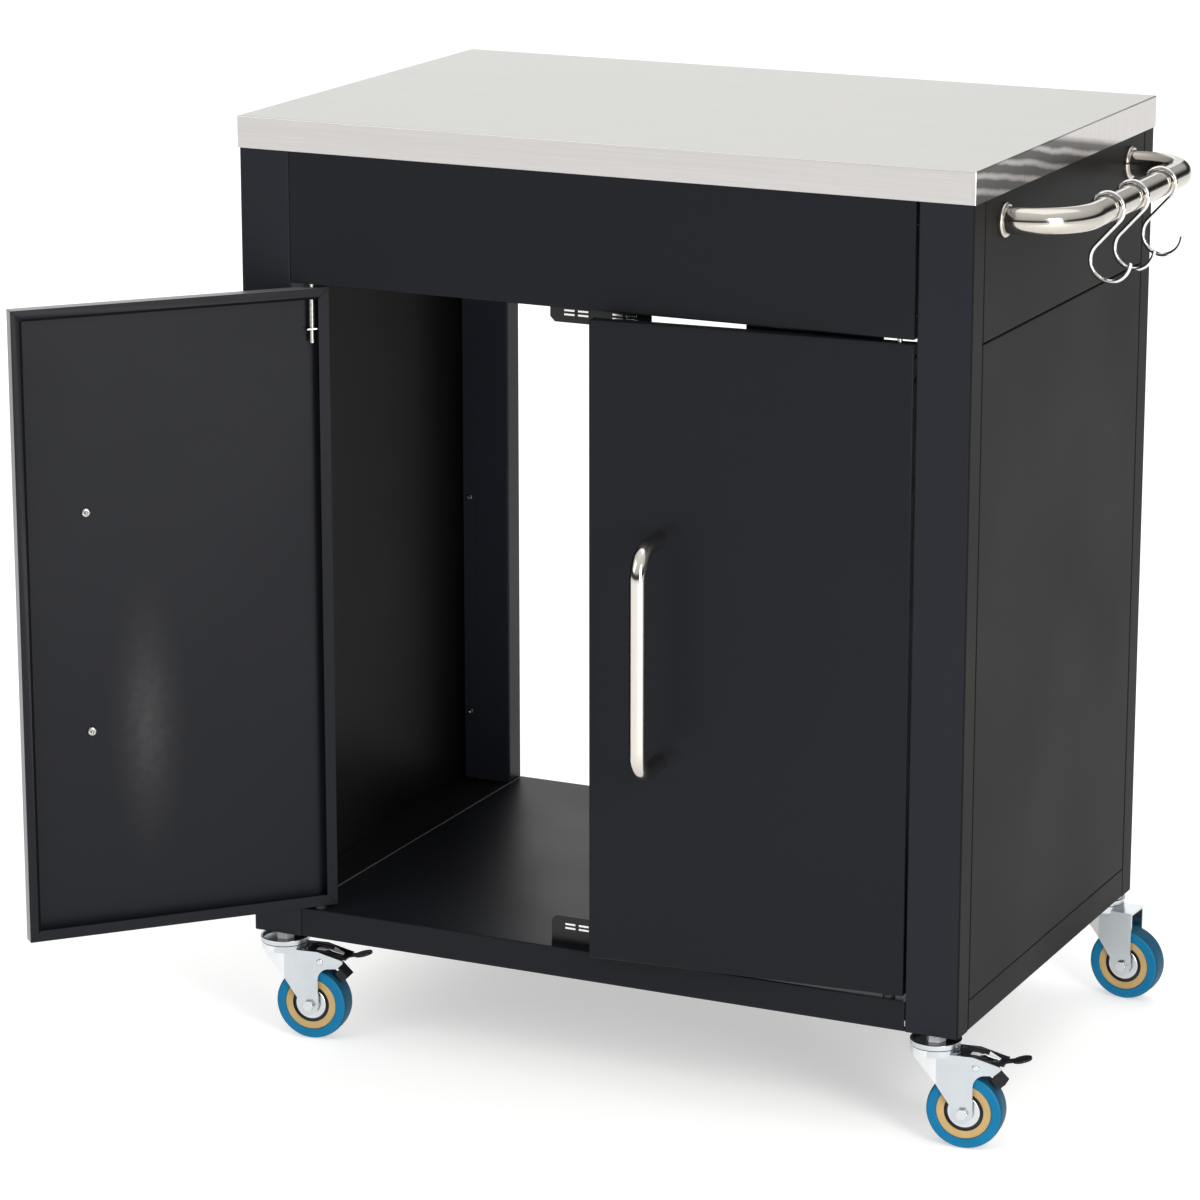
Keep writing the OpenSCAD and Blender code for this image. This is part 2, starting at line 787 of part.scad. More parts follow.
handle_x = free_x + handle_inset;
handle_zs = [door_mid_z - handle_pitch / 2, door_mid_z + handle_pitch / 2];
tab_rivet_zs = [
    tab_z + tab_leg / 2 - tab_rivet_pitch / 2 + 1, tab_z + tab_leg / 2 + tab_rivet_pitch / 2 + 1
];

// Door: a folded pan with a lip round its inside
module door() {
    low = [free_x, front_y, door_low_z];
    high = [hinge_x, lip_y, door_high_z];
    wall = [sheet, sheet, sheet];
    lip = [door_lip, 0, door_lip];
    color("#232327") difference() {
        block(low, high);
        block(low + wall, high - wall);
        block(low + lip + [0, 2, 0], high - lip + [0, 2, 0]);
        hole([pin_x, pin_y, door_high_z], along_z, pin_r + pin_fit, 4);
        hole([pin_x, pin_y, door_low_z], along_z, pin_r + pin_fit, 4);
        for (z = handle_zs) hole([handle_x, front_y, z], along_y, screw_r + screw_fit, 4);
        for (z = tab_rivet_zs) hole([hinge_x, pin_y, z], along_x, rivet_r + 0.1, 4);
    }
}

module left_door() {
    at_door(-1) door();
}

module right_door() {
    at_door(1) door();
}

// Pull handle: a bent tube on the door's face, upright
handle_bore = handle_plug - 2;

module handle() {
    color("silver") translate([handle_x, front_y, door_mid_z]) rotate([0, 0, -90]) rotate([90, 0, 0])
        difference() {
            bent_tube(handle_r, handle_wall, handle_reach, handle_pitch, handle_bend, handle_plug);
            for (s = [-1, 1])
                hole([0, s * handle_pitch / 2, 0], along_x, screw_r + 0.1, 2 * handle_bore);
        }
}

module left_handle() {
    at_door(-1) handle();
}

module right_handle() {
    at_door(1) handle();
}

// Pan-head screws with a cross recess, from inside the door
module handle_screws() {
    color("silver") for (z = handle_zs)
        translate([handle_x, front_y + sheet, z]) rotate([-90, 0, 0]) {
            translate([0, 0, -sheet - handle_bore]) cylinder(r = screw_r, h = sheet + handle_bore + 0.5);
            difference() {
                cylinder(r1 = screw_head_r + 1, r2 = screw_head_r, h = screw_head_h + 0.6);
                for (a = [0, 90]) rotate([0, 0, a])
                    block([-2.2, -0.5, 1.2], [2.2, 0.5, screw_head_h + 1]);
            }
        }
}

module left_handle_screws() {
    at_door(-1) handle_screws();
}

module right_handle_screws() {
    at_door(1) handle_screws();
}

// Spring bracket: a leg riveted to the door's edge and a tab under the spring
module spring_bracket() {
    wall_x = hinge_x - sheet;
    color("gainsboro") difference() {
        union() {
            block([wall_x - tab_t, pin_y - tab_w / 2, tab_z], [wall_x, pin_y + tab_w / 2, tab_z + tab_leg]);
            block([wall_x - tab_len, pin_y - tab_w / 2, tab_z], [wall_x, pin_y + tab_w / 2, tab_z + tab_t]);
        }
        hole([pin_x, pin_y, tab_z], along_z, pin_r + pin_fit, 6);
        for (z = tab_rivet_zs) hole([wall_x, pin_y, z], along_x, rivet_r + 0.1, 6);
    }
    color("gainsboro") for (z = tab_rivet_zs) translate([wall_x - tab_t, pin_y, z]) rotate(along_x) {
        cylinder(r = rivet_r, h = tab_t + sheet);
        translate([0, 0, -0.8]) cylinder(r1 = rivet_r, r2 = rivet_r + 0.9, h = 0.8);
        translate([0, 0, tab_t + sheet]) cylinder(r1 = rivet_r + 0.9, r2 = rivet_r, h = 1);
    }
}

module left_spring_bracket() {
    at_door(-1) spring_bracket();
}

module right_spring_bracket() {
    at_door(1) spring_bracket();
}

// Sprung pin, with its retaining clip pressed up against the door
module hinge_pin() {
    color("silver") translate([pin_x, pin_y, 0]) {
        translate([0, 0, pin_tip_z - pin_len]) cylinder(r = pin_r, h = pin_len - 1);
        translate([0, 0, pin_tip_z - 1]) cylinder(r1 = pin_r, r2 = pin_r - 0.8, h = 1);
        translate([0, 0, clip_z]) difference() {
            cylinder(r = clip_r, h = clip_t);
            translate([0, 0, -1]) cylinder(r = pin_r + 0.05, h = clip_t + 2);
        }
    }
}

module left_hinge_pin() {
    at_door(-1) hinge_pin();
}

module right_hinge_pin() {
    at_door(1) hinge_pin();
}

// Hinge spring: a tube of six sides swept along a helix, with straight ends
spring_sides = 6;
spring_rings = 8;
spring_r = spring_d / 2;
spring_end = spring_wire;
spring_seat = 0.1;
spring_rise = spring_len - 2 * spring_end - 2 * spring_seat;
spring_pitch = spring_rise / spring_turns;
spring_steps = spring_turns * spring_rings;
spring_path = concat(
    [[spring_r, 0, spring_seat]],
    [for (i = [0:spring_steps]) let (a = 360 * i / spring_rings)
        [spring_r * cos(a), spring_r * sin(a), spring_seat + spring_end + spring_rise * i / spring_steps]],
    [[spring_r * cos(360 * spring_turns), spring_r * sin(360 * spring_turns), spring_len - spring_seat]]
);

function unit(v) = v / norm(v);

// One ring of the tube's points, across the path at point i
function wire_ring(path, i, r, sides) =
    let (
        n = len(path) - 1,
        ahead = unit(path[min(i + 1, n)] - path[max(i - 1, 0)]),
        out = unit([path[i].x, path[i].y, 0]),
        side = unit(cross(ahead, out)),
        away = cross(side, ahead)
    )
    [for (k = [0:sides - 1]) path[i] + r * (cos(360 * k / sides) * away + sin(360 * k / sides) * side)];

module swept_wire(path, r, sides) {
    n = len(path);
    points = [for (i = [0:n - 1]) each wire_ring(path, i, r, sides)];
    walls = [for (i = [0:n - 2], k = [0:sides - 1])
        let (a = i * sides + k, b = i * sides + (k + 1) % sides)
        each [[a, b, b + sides], [a, b + sides, a + sides]]];
    low_end = [for (k = [1:sides - 2]) [0, k + 1, k]];
    last = (n - 1) * sides;
    high_end = [for (k = [1:sides - 2]) [last, last + k, last + k + 1]];
    polyhedron(points, concat(walls, low_end, high_end));
}

// The least gap between one curl and the next, measured on the path's own points
spring_gap = min([for (i = [1:spring_steps + 1 - spring_rings], k = [-1, 0, 1])
    norm(spring_path[i + spring_rings + k] - spring_path[i])]) - spring_wire;

module hinge_spring() {
    echo(least_gap_between_spring_curls = spring_gap);
    color("gainsboro") translate([pin_x, pin_y, spring_low_z])
        swept_wire(spring_path, spring_wire / 2, spring_sides);
}

module left_hinge_spring() {
    at_door(-1) hinge_spring();
}

module right_hinge_spring() {
    at_door(1) hinge_spring();
}

// Lower pins, riveted in the shelf, and the washers that carry the doors
module lower_hinge_pins() {
    color("silver") for (side = [-1, 1]) translate([side * pin_x, pin_y, 0]) {
        translate([0, 0, shelf_z - sheet - 1.5]) cylinder(r = pin_r + 2, h = 1.5);
        translate([0, 0, shelf_z - sheet - 0.1])
            cylinder(r = pin_r, h = door_low_gap + sheet + low_pin_reach + 0.1);
    }
}

module hinge_washers() {
    color("#202020") for (side = [-1, 1]) translate([side * pin_x, pin_y, shelf_z]) difference() {
        cylinder(r = washer_r, h = door_low_gap - 0.2);
        translate([0, 0, -1]) cylinder(r = pin_r + 0.1, h = door_low_gap + 2);
    }
}

// Places the casters' own frame: the swivel's axis is Z and the wheel trails along X
module at_corner(i) {
    translate([corner_sides[i].x * post_mid_x, corner_sides[i].y * post_mid_y, 0])
        rotate([0, 0, trail_angles[i]]) children();
}

module at_corners() {
    for (i = [0:3]) at_corner(i) children();
}

// Stems with their hexagon and the nut inside each post
module caster_stems() {
    hex_z = feet_z - hex_h;
    color("silver") at_corners() {
        translate([0, 0, head_z - 3]) cylinder(r = stem_r + 3, h = 3);
        translate([0, 0, head_z - 0.1]) cylinder(r = stem_r, h = feet_z + foot_t + stem_thread - head_z);
        translate([0, 0, hex_z]) hexagon(stem_hex, hex_h);
        translate([0, 0, feet_z + foot_t]) rotate([0, 0, -30]) difference() {
            hexagon(nut_hex, nut_h);
            translate([0, 0, -1]) cylinder(r = stem_r + 0.05, h = nut_h + 2);
        }
    }
}

// A ball groove cut round a swivel
module ball_groove() {
    translate([0, 0, ball_z]) rotate_extrude() translate([ball_ring, 0]) circle(ball_r + 0.3);
}

// Upper race: a dish under the stem's hexagon
module caster_races() {
    dish_floor = feet_z - hex_h;
    color("silver") at_corners() difference() {
        translate([0, 0, dish_z]) cylinder(r = dish_r, h = dish_h);
        translate([0, 0, dish_floor]) cylinder(r = dish_r - 2.5, h = dish_h);
        translate([0, 0, dish_z - 1]) cylinder(r = stem_r + 0.05, h = dish_h);
        ball_groove();
    }
}

module swivel_balls() {
    color("silver") at_corners() for (i = [0:ball_count - 1]) rotate([0, 0, 360 * i / ball_count])
        translate([ball_ring, 0, ball_z]) sphere(ball_r);
}

// Fork: a leg each side of the wheel, cheeks that run in towards the swivel, a top plate
// and the lower race. A braked fork's legs reach back round the pedal.
wing_break = 4;
wing_front = -21;
wing_in = 6.5;
wing_nose = 25;
wing_low_zs = [44, 63.5, 85];
tail_end_z = arch_z + 10;

module leg_outline(braked) {
    arch_x = leg_back + arch_r;
    arch_low_z = arch_z - arch_r;
    translate([leg_mid, wheel_r]) circle(leg_w / 2);
    translate([leg_front, wheel_r]) square([leg_w, plate_z - wheel_r]);
    if (braked) difference() {
        polygon([
            [leg_mid, arch_low_z], [arch_x, arch_low_z], [arch_x, arch_z], [tail_x - 6, arch_z + 1],
            [tail_x, tail_end_z - tail_h], [tail_x - 0.5, tail_end_z], [leg_back, plate_z], [leg_mid, plate_z]
        ]);
        translate([arch_x, arch_low_z]) circle(arch_r);
    }
}

// A flat cheek that starts at the fold and runs forward, between two lower corners
module cheek(length, low_back, low_front) {
    rotate([90, 0, 0]) translate([0, 0, -fork_t]) linear_extrude(fork_t)
        polygon([[0, low_back], [0, plate_z], [-length, plate_z], [-length, low_front]]);
}

module fork(braked) {
    back = braked ? leg_mid - 6.5 : leg_back;
    first = (leg_front - wing_break) / cos(wing_in);
    second = (wing_break - wing_front) / cos(wing_nose);
    break_y = fork_out - (leg_front - wing_break) * tan(wing_in);
    nose_y = break_y - (wing_break - wing_front) * tan(wing_nose);
    color("gainsboro") difference() {
        union() {
            for (s = [0, 1]) mirror([0, s, 0]) {
                translate([0, -fork_in / 2, 0]) rotate([90, 0, 0]) linear_extrude(fork_t)
                    leg_outline(braked);
                translate([leg_front, -fork_out, 0]) rotate([0, 0, -wing_in])
                    cheek(first, wing_low_zs[0], wing_low_zs[1]);
                translate([wing_break, -break_y, 0]) rotate([0, 0, -wing_nose])
                    cheek(second, wing_low_zs[1], wing_low_zs[2]);
            }
            translate([0, 0, plate_z - fork_t]) linear_extrude(fork_t) polygon([
                [wing_front, -nose_y], [wing_break, -break_y], [leg_front, -fork_out], [back, -fork_out],
                [back, fork_out], [leg_front, fork_out], [wing_break, break_y], [wing_front, nose_y]
            ]);
            translate([0, 0, plate_z - fork_t]) cylinder(r = dish_r - 1, h = race_z - plate_z + fork_t);
        }
        hole([0, 0, plate_z], along_z, stem_r + run_fit);
        hole([trail, 0, wheel_r], along_y, axle_r + 0.1, 60);
        if (braked) hole([pivot_x, 0, pivot_z], along_y, pivot_r + 0.05, 60);
        ball_groove();
    }
}

module front_left_fork() {
    at_corner(0) fork(true);
}

module front_right_fork() {
    at_corner(1) fork(true);
}

module rear_left_fork() {
    at_corner(2) fork(false);
}

module rear_right_fork() {
    at_corner(3) fork(false);
}

// Moves to the axle, with Z along it
module on_axle() {
    translate([trail, 0, wheel_r]) rotate([90, 0, 0]) children();
}

cap_t = 0.8;

// Dust cap: a plated cup over the recess, with a boss that reaches the fork
module dust_cap() {
    face = fork_in / 2 - 2.4;
    bore = sleeve_r + 0.1;
    rotate_extrude() polygon([
        [bore, face - cap_t], [cap_r - cap_t, face - cap_t], [cap_r - cap_t, face - 3],
        [cap_r, face - 3], [cap_r, face - 0.6], [cap_r - 0.6, face], [sleeve_r + 4, face],
        [sleeve_r + 3, face + 2.2], [bore, face + 2.2]
    ]);
}

// Axle bolt, its nut, the sleeve that the wheel runs on, the dust caps and a pedal's rivet
module axle(braked) {
    head_h = 4;
    color("silver") {
        on_axle() {
            translate([0, 0, -fork_out - head_h - 1.5]) cylinder(r = axle_r, h = 2 * fork_out + head_h + 1.5);
            translate([0, 0, fork_out]) hexagon(10, head_h);
            difference() {
                translate([0, 0, -fork_out - head_h]) hexagon(10, head_h);
                translate([0, 0, -fork_out - head_h - 1]) cylinder(r = axle_r + 0.05, h = head_h + 2);
            }
            difference() {
                cylinder(r = sleeve_r, h = fork_in - 0.2, center = true);
                cylinder(r = axle_r + 0.05, h = fork_in, center = true);
            }
            for (s = [0, 1]) mirror([0, 0, s]) dust_cap();
        }
        if (braked) translate([pivot_x, 0, pivot_z]) rotate([90, 0, 0]) {
            cylinder(r = pivot_r, h = 2 * fork_out, center = true);
            for (s = [0, 1]) mirror([0, 0, s]) translate([0, 0, fork_out])
                cylinder(r1 = pivot_r + 1.2, r2 = pivot_r, h = 1.4);
        }
    }
}

module front_left_axle() {
    at_corner(0) axle(true);
}

module front_right_axle() {
    at_corner(1) axle(true);
}

module rear_left_axle() {
    at_corner(2) axle(false);
}

module rear_right_axle() {
    at_corner(3) axle(false);
}

// Tyre: a band with rounded shoulders on the core
module tyre() {
    h = wheel_w / 2;
    color("steelblue") on_axle() rotate_extrude($fn = 96) polygon([
        [core_r, -h], [wheel_r - 2.2, -h], [wheel_r - 0.9, 1 - h], [wheel_r, 3 - h],
        [wheel_r, h - 3], [wheel_r - 0.9, h - 1], [wheel_r - 2.2, h], [core_r, h]
    ]);
}

module front_left_tyre() {
    at_corner(0) tyre();
}

module front_right_tyre() {
    at_corner(1) tyre();
}

module rear_left_tyre() {
    at_corner(2) tyre();
}

module rear_right_tyre() {
    at_corner(3) tyre();
}

// Core: a hub that runs on the sleeve, with a recess each side for the dust caps
module core() {
    h = wheel_w / 2 - 0.5;
    floor_h = h - recess_d;
    r = core_r - 0.05;
    bore = sleeve_r + run_fit;
    color("burlywood") on_axle() rotate_extrude($fn = 96) polygon([
        [bore, -floor_h], [recess_r, -floor_h], [recess_r, -h], [r, -h],
        [r, h], [recess_r, h], [recess_r, floor_h], [bore, floor_h]
    ]);
}

module front_left_core() {
    at_corner(0) core();
}

module front_right_core() {
    at_corner(1) core();
}

module rear_left_core() {
    at_corner(2) core();
}

module rear_right_core() {
    at_corner(3) core();
}

// Brake pedal: a plate between the fork's legs on two cheeks, a toe piece, and a tongue
// bent down behind the shoe
pedal_front = 26.5;
pedal_back = 70;
pedal_slope = 6;
toe_rise = 20;
pedal_z = plate_z - 1;
shoe_angle = 45;
tongue_t = 1.6;

// Moves to the brake shoe's frame: X points away from the wheel's axle
module on_shoe() {
    translate([trail, 0, wheel_r]) rotate([0, -shoe_angle, 0]) children();
}

module pedal() {
    half = pedal_w / 2;
    plate_l = pedal_back - pedal_front;
    toe_r = 0.75 * half;
    cheek_t = 1.6;
    back_r = shoe_in + shoe_d;
    tongue = (pedal_z - pedal_t - wheel_r - back_r * sin(shoe_angle)) / cos(shoe_angle) - 2;
    color("#1c1c1e") {
        difference() {
            union() {
                translate([pedal_front, 0, pedal_z]) rotate([0, pedal_slope, 0]) {
                    block([0, -half, -pedal_t], [plate_l, half, 0]);
                    translate([plate_l - 1, 0, -pedal_t]) rotate([0, -toe_rise, 0])
                        linear_extrude(pedal_t) {
                            translate([0, -half / 3]) square([pedal_toe / 2, 2 * half / 3]);
                            translate([pedal_toe - toe_r, 0]) circle(toe_r);
                        }
                }
                for (s = [0, 1]) mirror([0, s, 0])
                    translate([0, cheek_t - half, 0]) rotate([90, 0, 0]) linear_extrude(cheek_t) {
                        translate([pivot_x, pivot_z]) circle(pivot_r + 3);
                        polygon([
                            [pivot_x - 6, pedal_z - 2], [pivot_x - 4, pivot_z], [pivot_x + 5, pivot_z - 2],
                            [pedal_back - 8, pedal_z - 9], [pedal_back - 3, pedal_z - 5]
                        ]);
                    }
            }
            hole([pivot_x, 0, pivot_z], along_y, pivot_r + run_fit, 60);
            on_shoe() block([0, -half - 1, -shoe_len], [back_r, half + 1, shoe_len]);
        }
        on_shoe() block([back_r, -shoe_w / 2, -shoe_len / 2],
            [back_r + tongue_t, shoe_w / 2, tongue]);
    }
}

module front_left_pedal() {
    at_corner(0) pedal();
}

module front_right_pedal() {
    at_corner(1) pedal();
}

// Brake shoe: a ribbed block that the pedal pushes on the tyre
module shoe() {
    rib = 1.2;
    color("#141414") on_shoe() difference() {
        block([shoe_in, -shoe_w / 2, -shoe_len / 2], [shoe_in + shoe_d, shoe_w / 2, shoe_len / 2]);
        for (x = [shoe_in + 1:2.2:shoe_in + shoe_d - 1.5], s = [-1, 1])
            block([x, -shoe_w, s * shoe_len / 2 - rib / 2], [x + rib, shoe_w, s * shoe_len / 2 + rib / 2]);
    }
}

module front_left_shoe() {
    at_corner(0) shoe();
}

module front_right_shoe() {
    at_corner(1) shoe();
}

worktop();
worktop_stiffeners();
post_front_left();
post_front_right();
post_rear_left();
post_rear_right();
fascia();
rear_upper_panel();
upper_side_panel_left();
upper_side_panel_right();
lower_side_panel_left();
lower_side_panel_right();
side_base_rails();
shelf();
catch_brackets();
catch_magnets();
handlebar();
handlebar_flanges();
handlebar_bolts();
panel_screws();
lower_hinge_pins();
hinge_washers();
caster_stems();
caster_races();
swivel_balls();
left_door();
right_door();
left_handle();
right_handle();
left_handle_screws();
right_handle_screws();
left_spring_bracket();
right_spring_bracket();
left_hinge_pin();
right_hinge_pin();
left_hinge_spring();
right_hinge_spring();
front_left_fork();
front_right_fork();
rear_left_fork();
rear_right_fork();
front_left_axle();
front_right_axle();
rear_left_axle();
rear_right_axle();
front_left_tyre();
front_right_tyre();
rear_left_tyre();
rear_right_tyre();
front_left_core();
front_right_core();
rear_left_core();
rear_right_core();
front_left_pedal();
front_right_pedal();
front_left_shoe();
front_right_shoe();
hook_front();
hook_middle();
hook_rear();
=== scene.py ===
import bmesh
import bpy
import math
from mathutils import Matrix, Vector


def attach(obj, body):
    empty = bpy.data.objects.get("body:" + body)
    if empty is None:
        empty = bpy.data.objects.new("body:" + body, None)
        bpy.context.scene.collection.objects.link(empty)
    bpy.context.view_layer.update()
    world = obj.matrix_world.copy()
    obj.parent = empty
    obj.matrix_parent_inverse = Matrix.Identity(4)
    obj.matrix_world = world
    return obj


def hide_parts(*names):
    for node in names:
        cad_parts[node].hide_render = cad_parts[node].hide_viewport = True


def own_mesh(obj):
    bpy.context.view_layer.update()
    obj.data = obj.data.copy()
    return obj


# Kitchen cart. Sizes are in millimetres until a mesh is made, then metres.
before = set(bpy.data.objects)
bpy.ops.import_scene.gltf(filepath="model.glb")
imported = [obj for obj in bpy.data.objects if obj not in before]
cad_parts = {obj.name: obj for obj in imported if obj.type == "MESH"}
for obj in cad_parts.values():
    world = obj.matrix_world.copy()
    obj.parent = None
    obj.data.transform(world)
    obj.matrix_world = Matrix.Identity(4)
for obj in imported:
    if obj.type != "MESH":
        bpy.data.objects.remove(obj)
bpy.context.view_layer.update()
scene = bpy.context.scene
print("frame loaded:", len(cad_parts), "nodes")

cabinet = {
    "width": 760, "depth": 500,
    "feet": 111, "shelf": 141.5, "seam": 776, "fascia": 780, "skirt": 909, "top": 940,
    "postWidth": 54, "postDepth": 28.5,
    "sheet": 1.0,          # painted panels
    "topSheet": 1.0,       # worktop
    "foldRadius": 1.7,     # outside radius of a folded edge
    "cutRound": 0.25,      # how far a panel's cut edges are eased
}
sides = (("left", False), ("right", True))     # name, and whether it lies on the right
halfW = cabinet["width"] / 2
halfD = cabinet["depth"] / 2
innerX = halfW - cabinet["postWidth"]
underTop = cabinet["top"] - cabinet["topSheet"]


# Materials

def newMaterial(name):
    material = bpy.data.materials.new(name)
    material.use_nodes = True
    nodes = material.node_tree.nodes
    return material, nodes, material.node_tree.links, nodes["Principled BSDF"]


def setInputs(node, settings):
    for name, value in settings.items():
        node.inputs[name].default_value = value


def objectPoints(nodes, links, scale=(1, 1, 1), kind="POINT", **settings):
    # object coordinates, stretched to give a grain its direction
    coords = nodes.new("ShaderNodeTexCoord")
    stretch = nodes.new("ShaderNodeMapping")
    stretch.vector_type = kind
    setInputs(stretch, {"Scale": scale, **settings})
    links.new(coords.outputs["Object"], stretch.inputs["Vector"])
    return stretch.outputs["Vector"]


def noiseNode(nodes, links, points, scale, detail=2.0, rough=0.5):
    cloud = nodes.new("ShaderNodeTexNoise")
    setInputs(cloud, {"Scale": scale, "Detail": detail, "Roughness": rough})
    links.new(points, cloud.inputs["Vector"])
    return cloud.outputs["Fac"]


def rangeNode(nodes, links, value, low, high, fromLow=0.3, fromHigh=0.7):
    spread = nodes.new("ShaderNodeMapRange")
    setInputs(spread, {"From Min": fromLow, "From Max": fromHigh, "To Min": low, "To Max": high})
    links.new(value, spread.inputs["Value"])
    return spread.outputs["Result"]


def mixColours(nodes, links, value, dark, light):
    ramp = nodes.new("ShaderNodeValToRGB")
    for element, place, colour in zip(ramp.color_ramp.elements, (0.3, 0.7), (dark, light)):
        element.position = place
        element.color = (*colour, 1)
    links.new(value, ramp.inputs["Fac"])
    return ramp.outputs["Color"]


def mathNode(nodes, links, operation, value, other, addend=None):
    # other is a number or a socket
    node = nodes.new("ShaderNodeMath")
    node.operation = operation
    links.new(value, node.inputs[0])
    if isinstance(other, float):
        node.inputs[1].default_value = other
    else:
        links.new(other, node.inputs[1])
    if addend:
        links.new(addend, node.inputs[2])
    return node.outputs[0]


def paintOver(material, blend):
    # puts a mix between the base colour that a material already has and its shader
    nodes, links = material.node_tree.nodes, material.node_tree.links
    base = nodes["Principled BSDF"].inputs["Base Color"]
    shade = nodes.new("ShaderNodeMix")
    shade.data_type = "RGBA"
    shade.blend_type = blend
    links.new(base.links[0].from_socket, shade.inputs["A"])
    links.new(shade.outputs["Result"], base)
    return nodes, links, shade


def bumpNode(nodes, links, height, strength, distance):
    bump = nodes.new("ShaderNodeBump")
    setInputs(bump, {"Strength": strength, "Distance": distance})
    links.new(height, bump.inputs["Height"])
    return bump.outputs["Normal"]


def linkShader(links, shader, colour, rough, normal):
    for name, socket in (("Base Color", colour), ("Roughness", rough), ("Normal", normal)):
        links.new(socket, shader.inputs[name])


powder = {
    "dark": (0.0068, 0.0072, 0.0085), "light": (0.0098, 0.0102, 0.0118),
    "roughLow": 0.36, "roughHigh": 0.44,
    "patches": 5,                        # features per metre
    "peelSize": 1100, "peel": 0.10,      # orange peel: features per metre, strength
    "peelDeep": 0.0004, "gritTimes": 1.6,
}


def powderCoat(name, tint, level=0.14, gloss=0.0, shine=(1, 1, 1)):
    material, nodes, links, shader = newMaterial(name)
    points = objectPoints(nodes, links)
    patches = noiseNode(nodes, links, points, powder["patches"], 3)
    grit = noiseNode(nodes, links, points, powder["peelSize"] * powder["gritTimes"], 2)
    peel = noiseNode(nodes, links, points, powder["peelSize"], 3, 0.6)
    dark = [c * t for c, t in zip(powder["dark"], tint)]
    light = [c * t for c, t in zip(powder["light"], tint)]
    linkShader(links, shader, mixColours(nodes, links, grit, dark, light),
               rangeNode(nodes, links, patches, powder["roughLow"] - gloss,
                         powder["roughHigh"] - gloss),
               bumpNode(nodes, links, peel, powder["peel"], powder["peelDeep"]))
    setInputs(shader, {"Specular IOR Level": level, "Specular Tint": (*shine, 1)})
    return material


brush = {
    "across": 520, "along": 7,               # grain, features per metre
    "bandAlong": 1.2, "bandTimes": 0.1,      # wider bands in the same direction
    "darker": 0.10, "lighter": 0.07,
    "grainShare": 0.55, "bandShare": 0.45, "deep": 0.0002,
}


def brushedSteel(name, along, colour, rough, strength, scratches, oneWay=0.4):
    # grain along one axis: X, Y or Z
    material, nodes, links, shader = newMaterial(name)
    stretch = [brush["across"]] * 3
    stretch["XYZ".index(along)] = brush["along"]
    grain = noiseNode(nodes, links, objectPoints(nodes, links, stretch), 1.0, 3, 0.65)
    stretch["XYZ".index(along)] = brush["bandAlong"]
    wide = objectPoints(nodes, links, [s * brush["bandTimes"] for s in stretch])
    bands = noiseNode(nodes, links, wide, 1.0, 2)
    dark = [c * (1 - brush["darker"] * scratches) for c in colour]
    light = [min(1.0, c * (1 + brush["lighter"] * scratches)) for c in colour]
    half = mathNode(nodes, links, "MULTIPLY", bands, brush["bandShare"])
    both = mathNode(nodes, links, "MULTIPLY_ADD", grain, brush["grainShare"], half)
    linkShader(links, shader, mixColours(nodes, links, grain, dark, light),
               rangeNode(nodes, links, both, *rough),
               bumpNode(nodes, links, grain, strength, brush["deep"]))
    setInputs(shader, {"Metallic": 1.0, "Anisotropic": oneWay})
    return material


paintedHighlight = {
    "spot": (-0.4246, -0.3709, 0.356), "half": (0.046, 0.046, 0.170),     # metres
    "colour": (0.056, 0.054, 0.056), "ragSize": 110, "ragLow": 0.65,
}


def addPaintedHighlight(material):
    # painted highlight: a soft pale patch on the door's inside, standing in for a reflection
    nodes, links, shade = paintOver(material, "MIX")
    place = objectPoints(nodes, links, paintedHighlight["half"], "TEXTURE", Location=paintedHighlight["spot"])
    ball = nodes.new("ShaderNodeTexGradient")
    ball.gradient_type = "QUADRATIC_SPHERE"
    links.new(place, ball.inputs["Vector"])
    rag = noiseNode(nodes, links, objectPoints(nodes, links), paintedHighlight["ragSize"], 3)
    ragged = rangeNode(nodes, links, rag, paintedHighlight["ragLow"], 1.0)
    soft = mathNode(nodes, links, "MULTIPLY", ball.outputs["Fac"], ragged)
    links.new(soft, shade.inputs["Factor"])
    shade.inputs["B"].default_value = (*paintedHighlight["colour"], 1)


paintedReflections = {
    "slope": 10, "scale": 22,            # degrees, bands
    "edge": 0.918, "soft": 0.004,        # metres: no painted reflections above this height
    "dark": 0.16, "bright": 0.80, "wander": 2.2, "wanderScale": 0.6,
}


def addPaintedReflections(material):
    # painted reflections: slanting dark and bright bands, as a brushed skirt reflects them
    nodes, links, shade = paintOver(material, "MULTIPLY")
    slope = (math.radians(paintedReflections["slope"]), 0, 0)
    turned = objectPoints(nodes, links, Rotation=slope)
    split = nodes.new("ShaderNodeSeparateXYZ")
    links.new(turned, split.inputs["Vector"])
    wave = nodes.new("ShaderNodeTexWave")
    wave.bands_direction = "Z"
    setInputs(wave, {"Scale": paintedReflections["scale"], "Distortion": paintedReflections["wander"], "Detail": 3,
                     "Detail Scale": paintedReflections["wanderScale"]})
    links.new(turned, wave.inputs["Vector"])
    bands = rangeNode(nodes, links, wave.outputs["Fac"], paintedReflections["dark"], paintedReflections["bright"],
                      0.45, 1.0)
    clear = rangeNode(nodes, links, split.outputs["Z"], 0, 1, paintedReflections["edge"] - paintedReflections["soft"],
                      paintedReflections["edge"] + paintedReflections["soft"])
    top = mathNode(nodes, links, "MAXIMUM", bands, clear)
    shade.inputs["Factor"].default_value = 1.0
    links.new(top, shade.inputs["B"])


polish = {"across": 900, "along": 40, "clouds": 30, "darker": 0.96, "mark": 0.03, "deep": 0.0001}


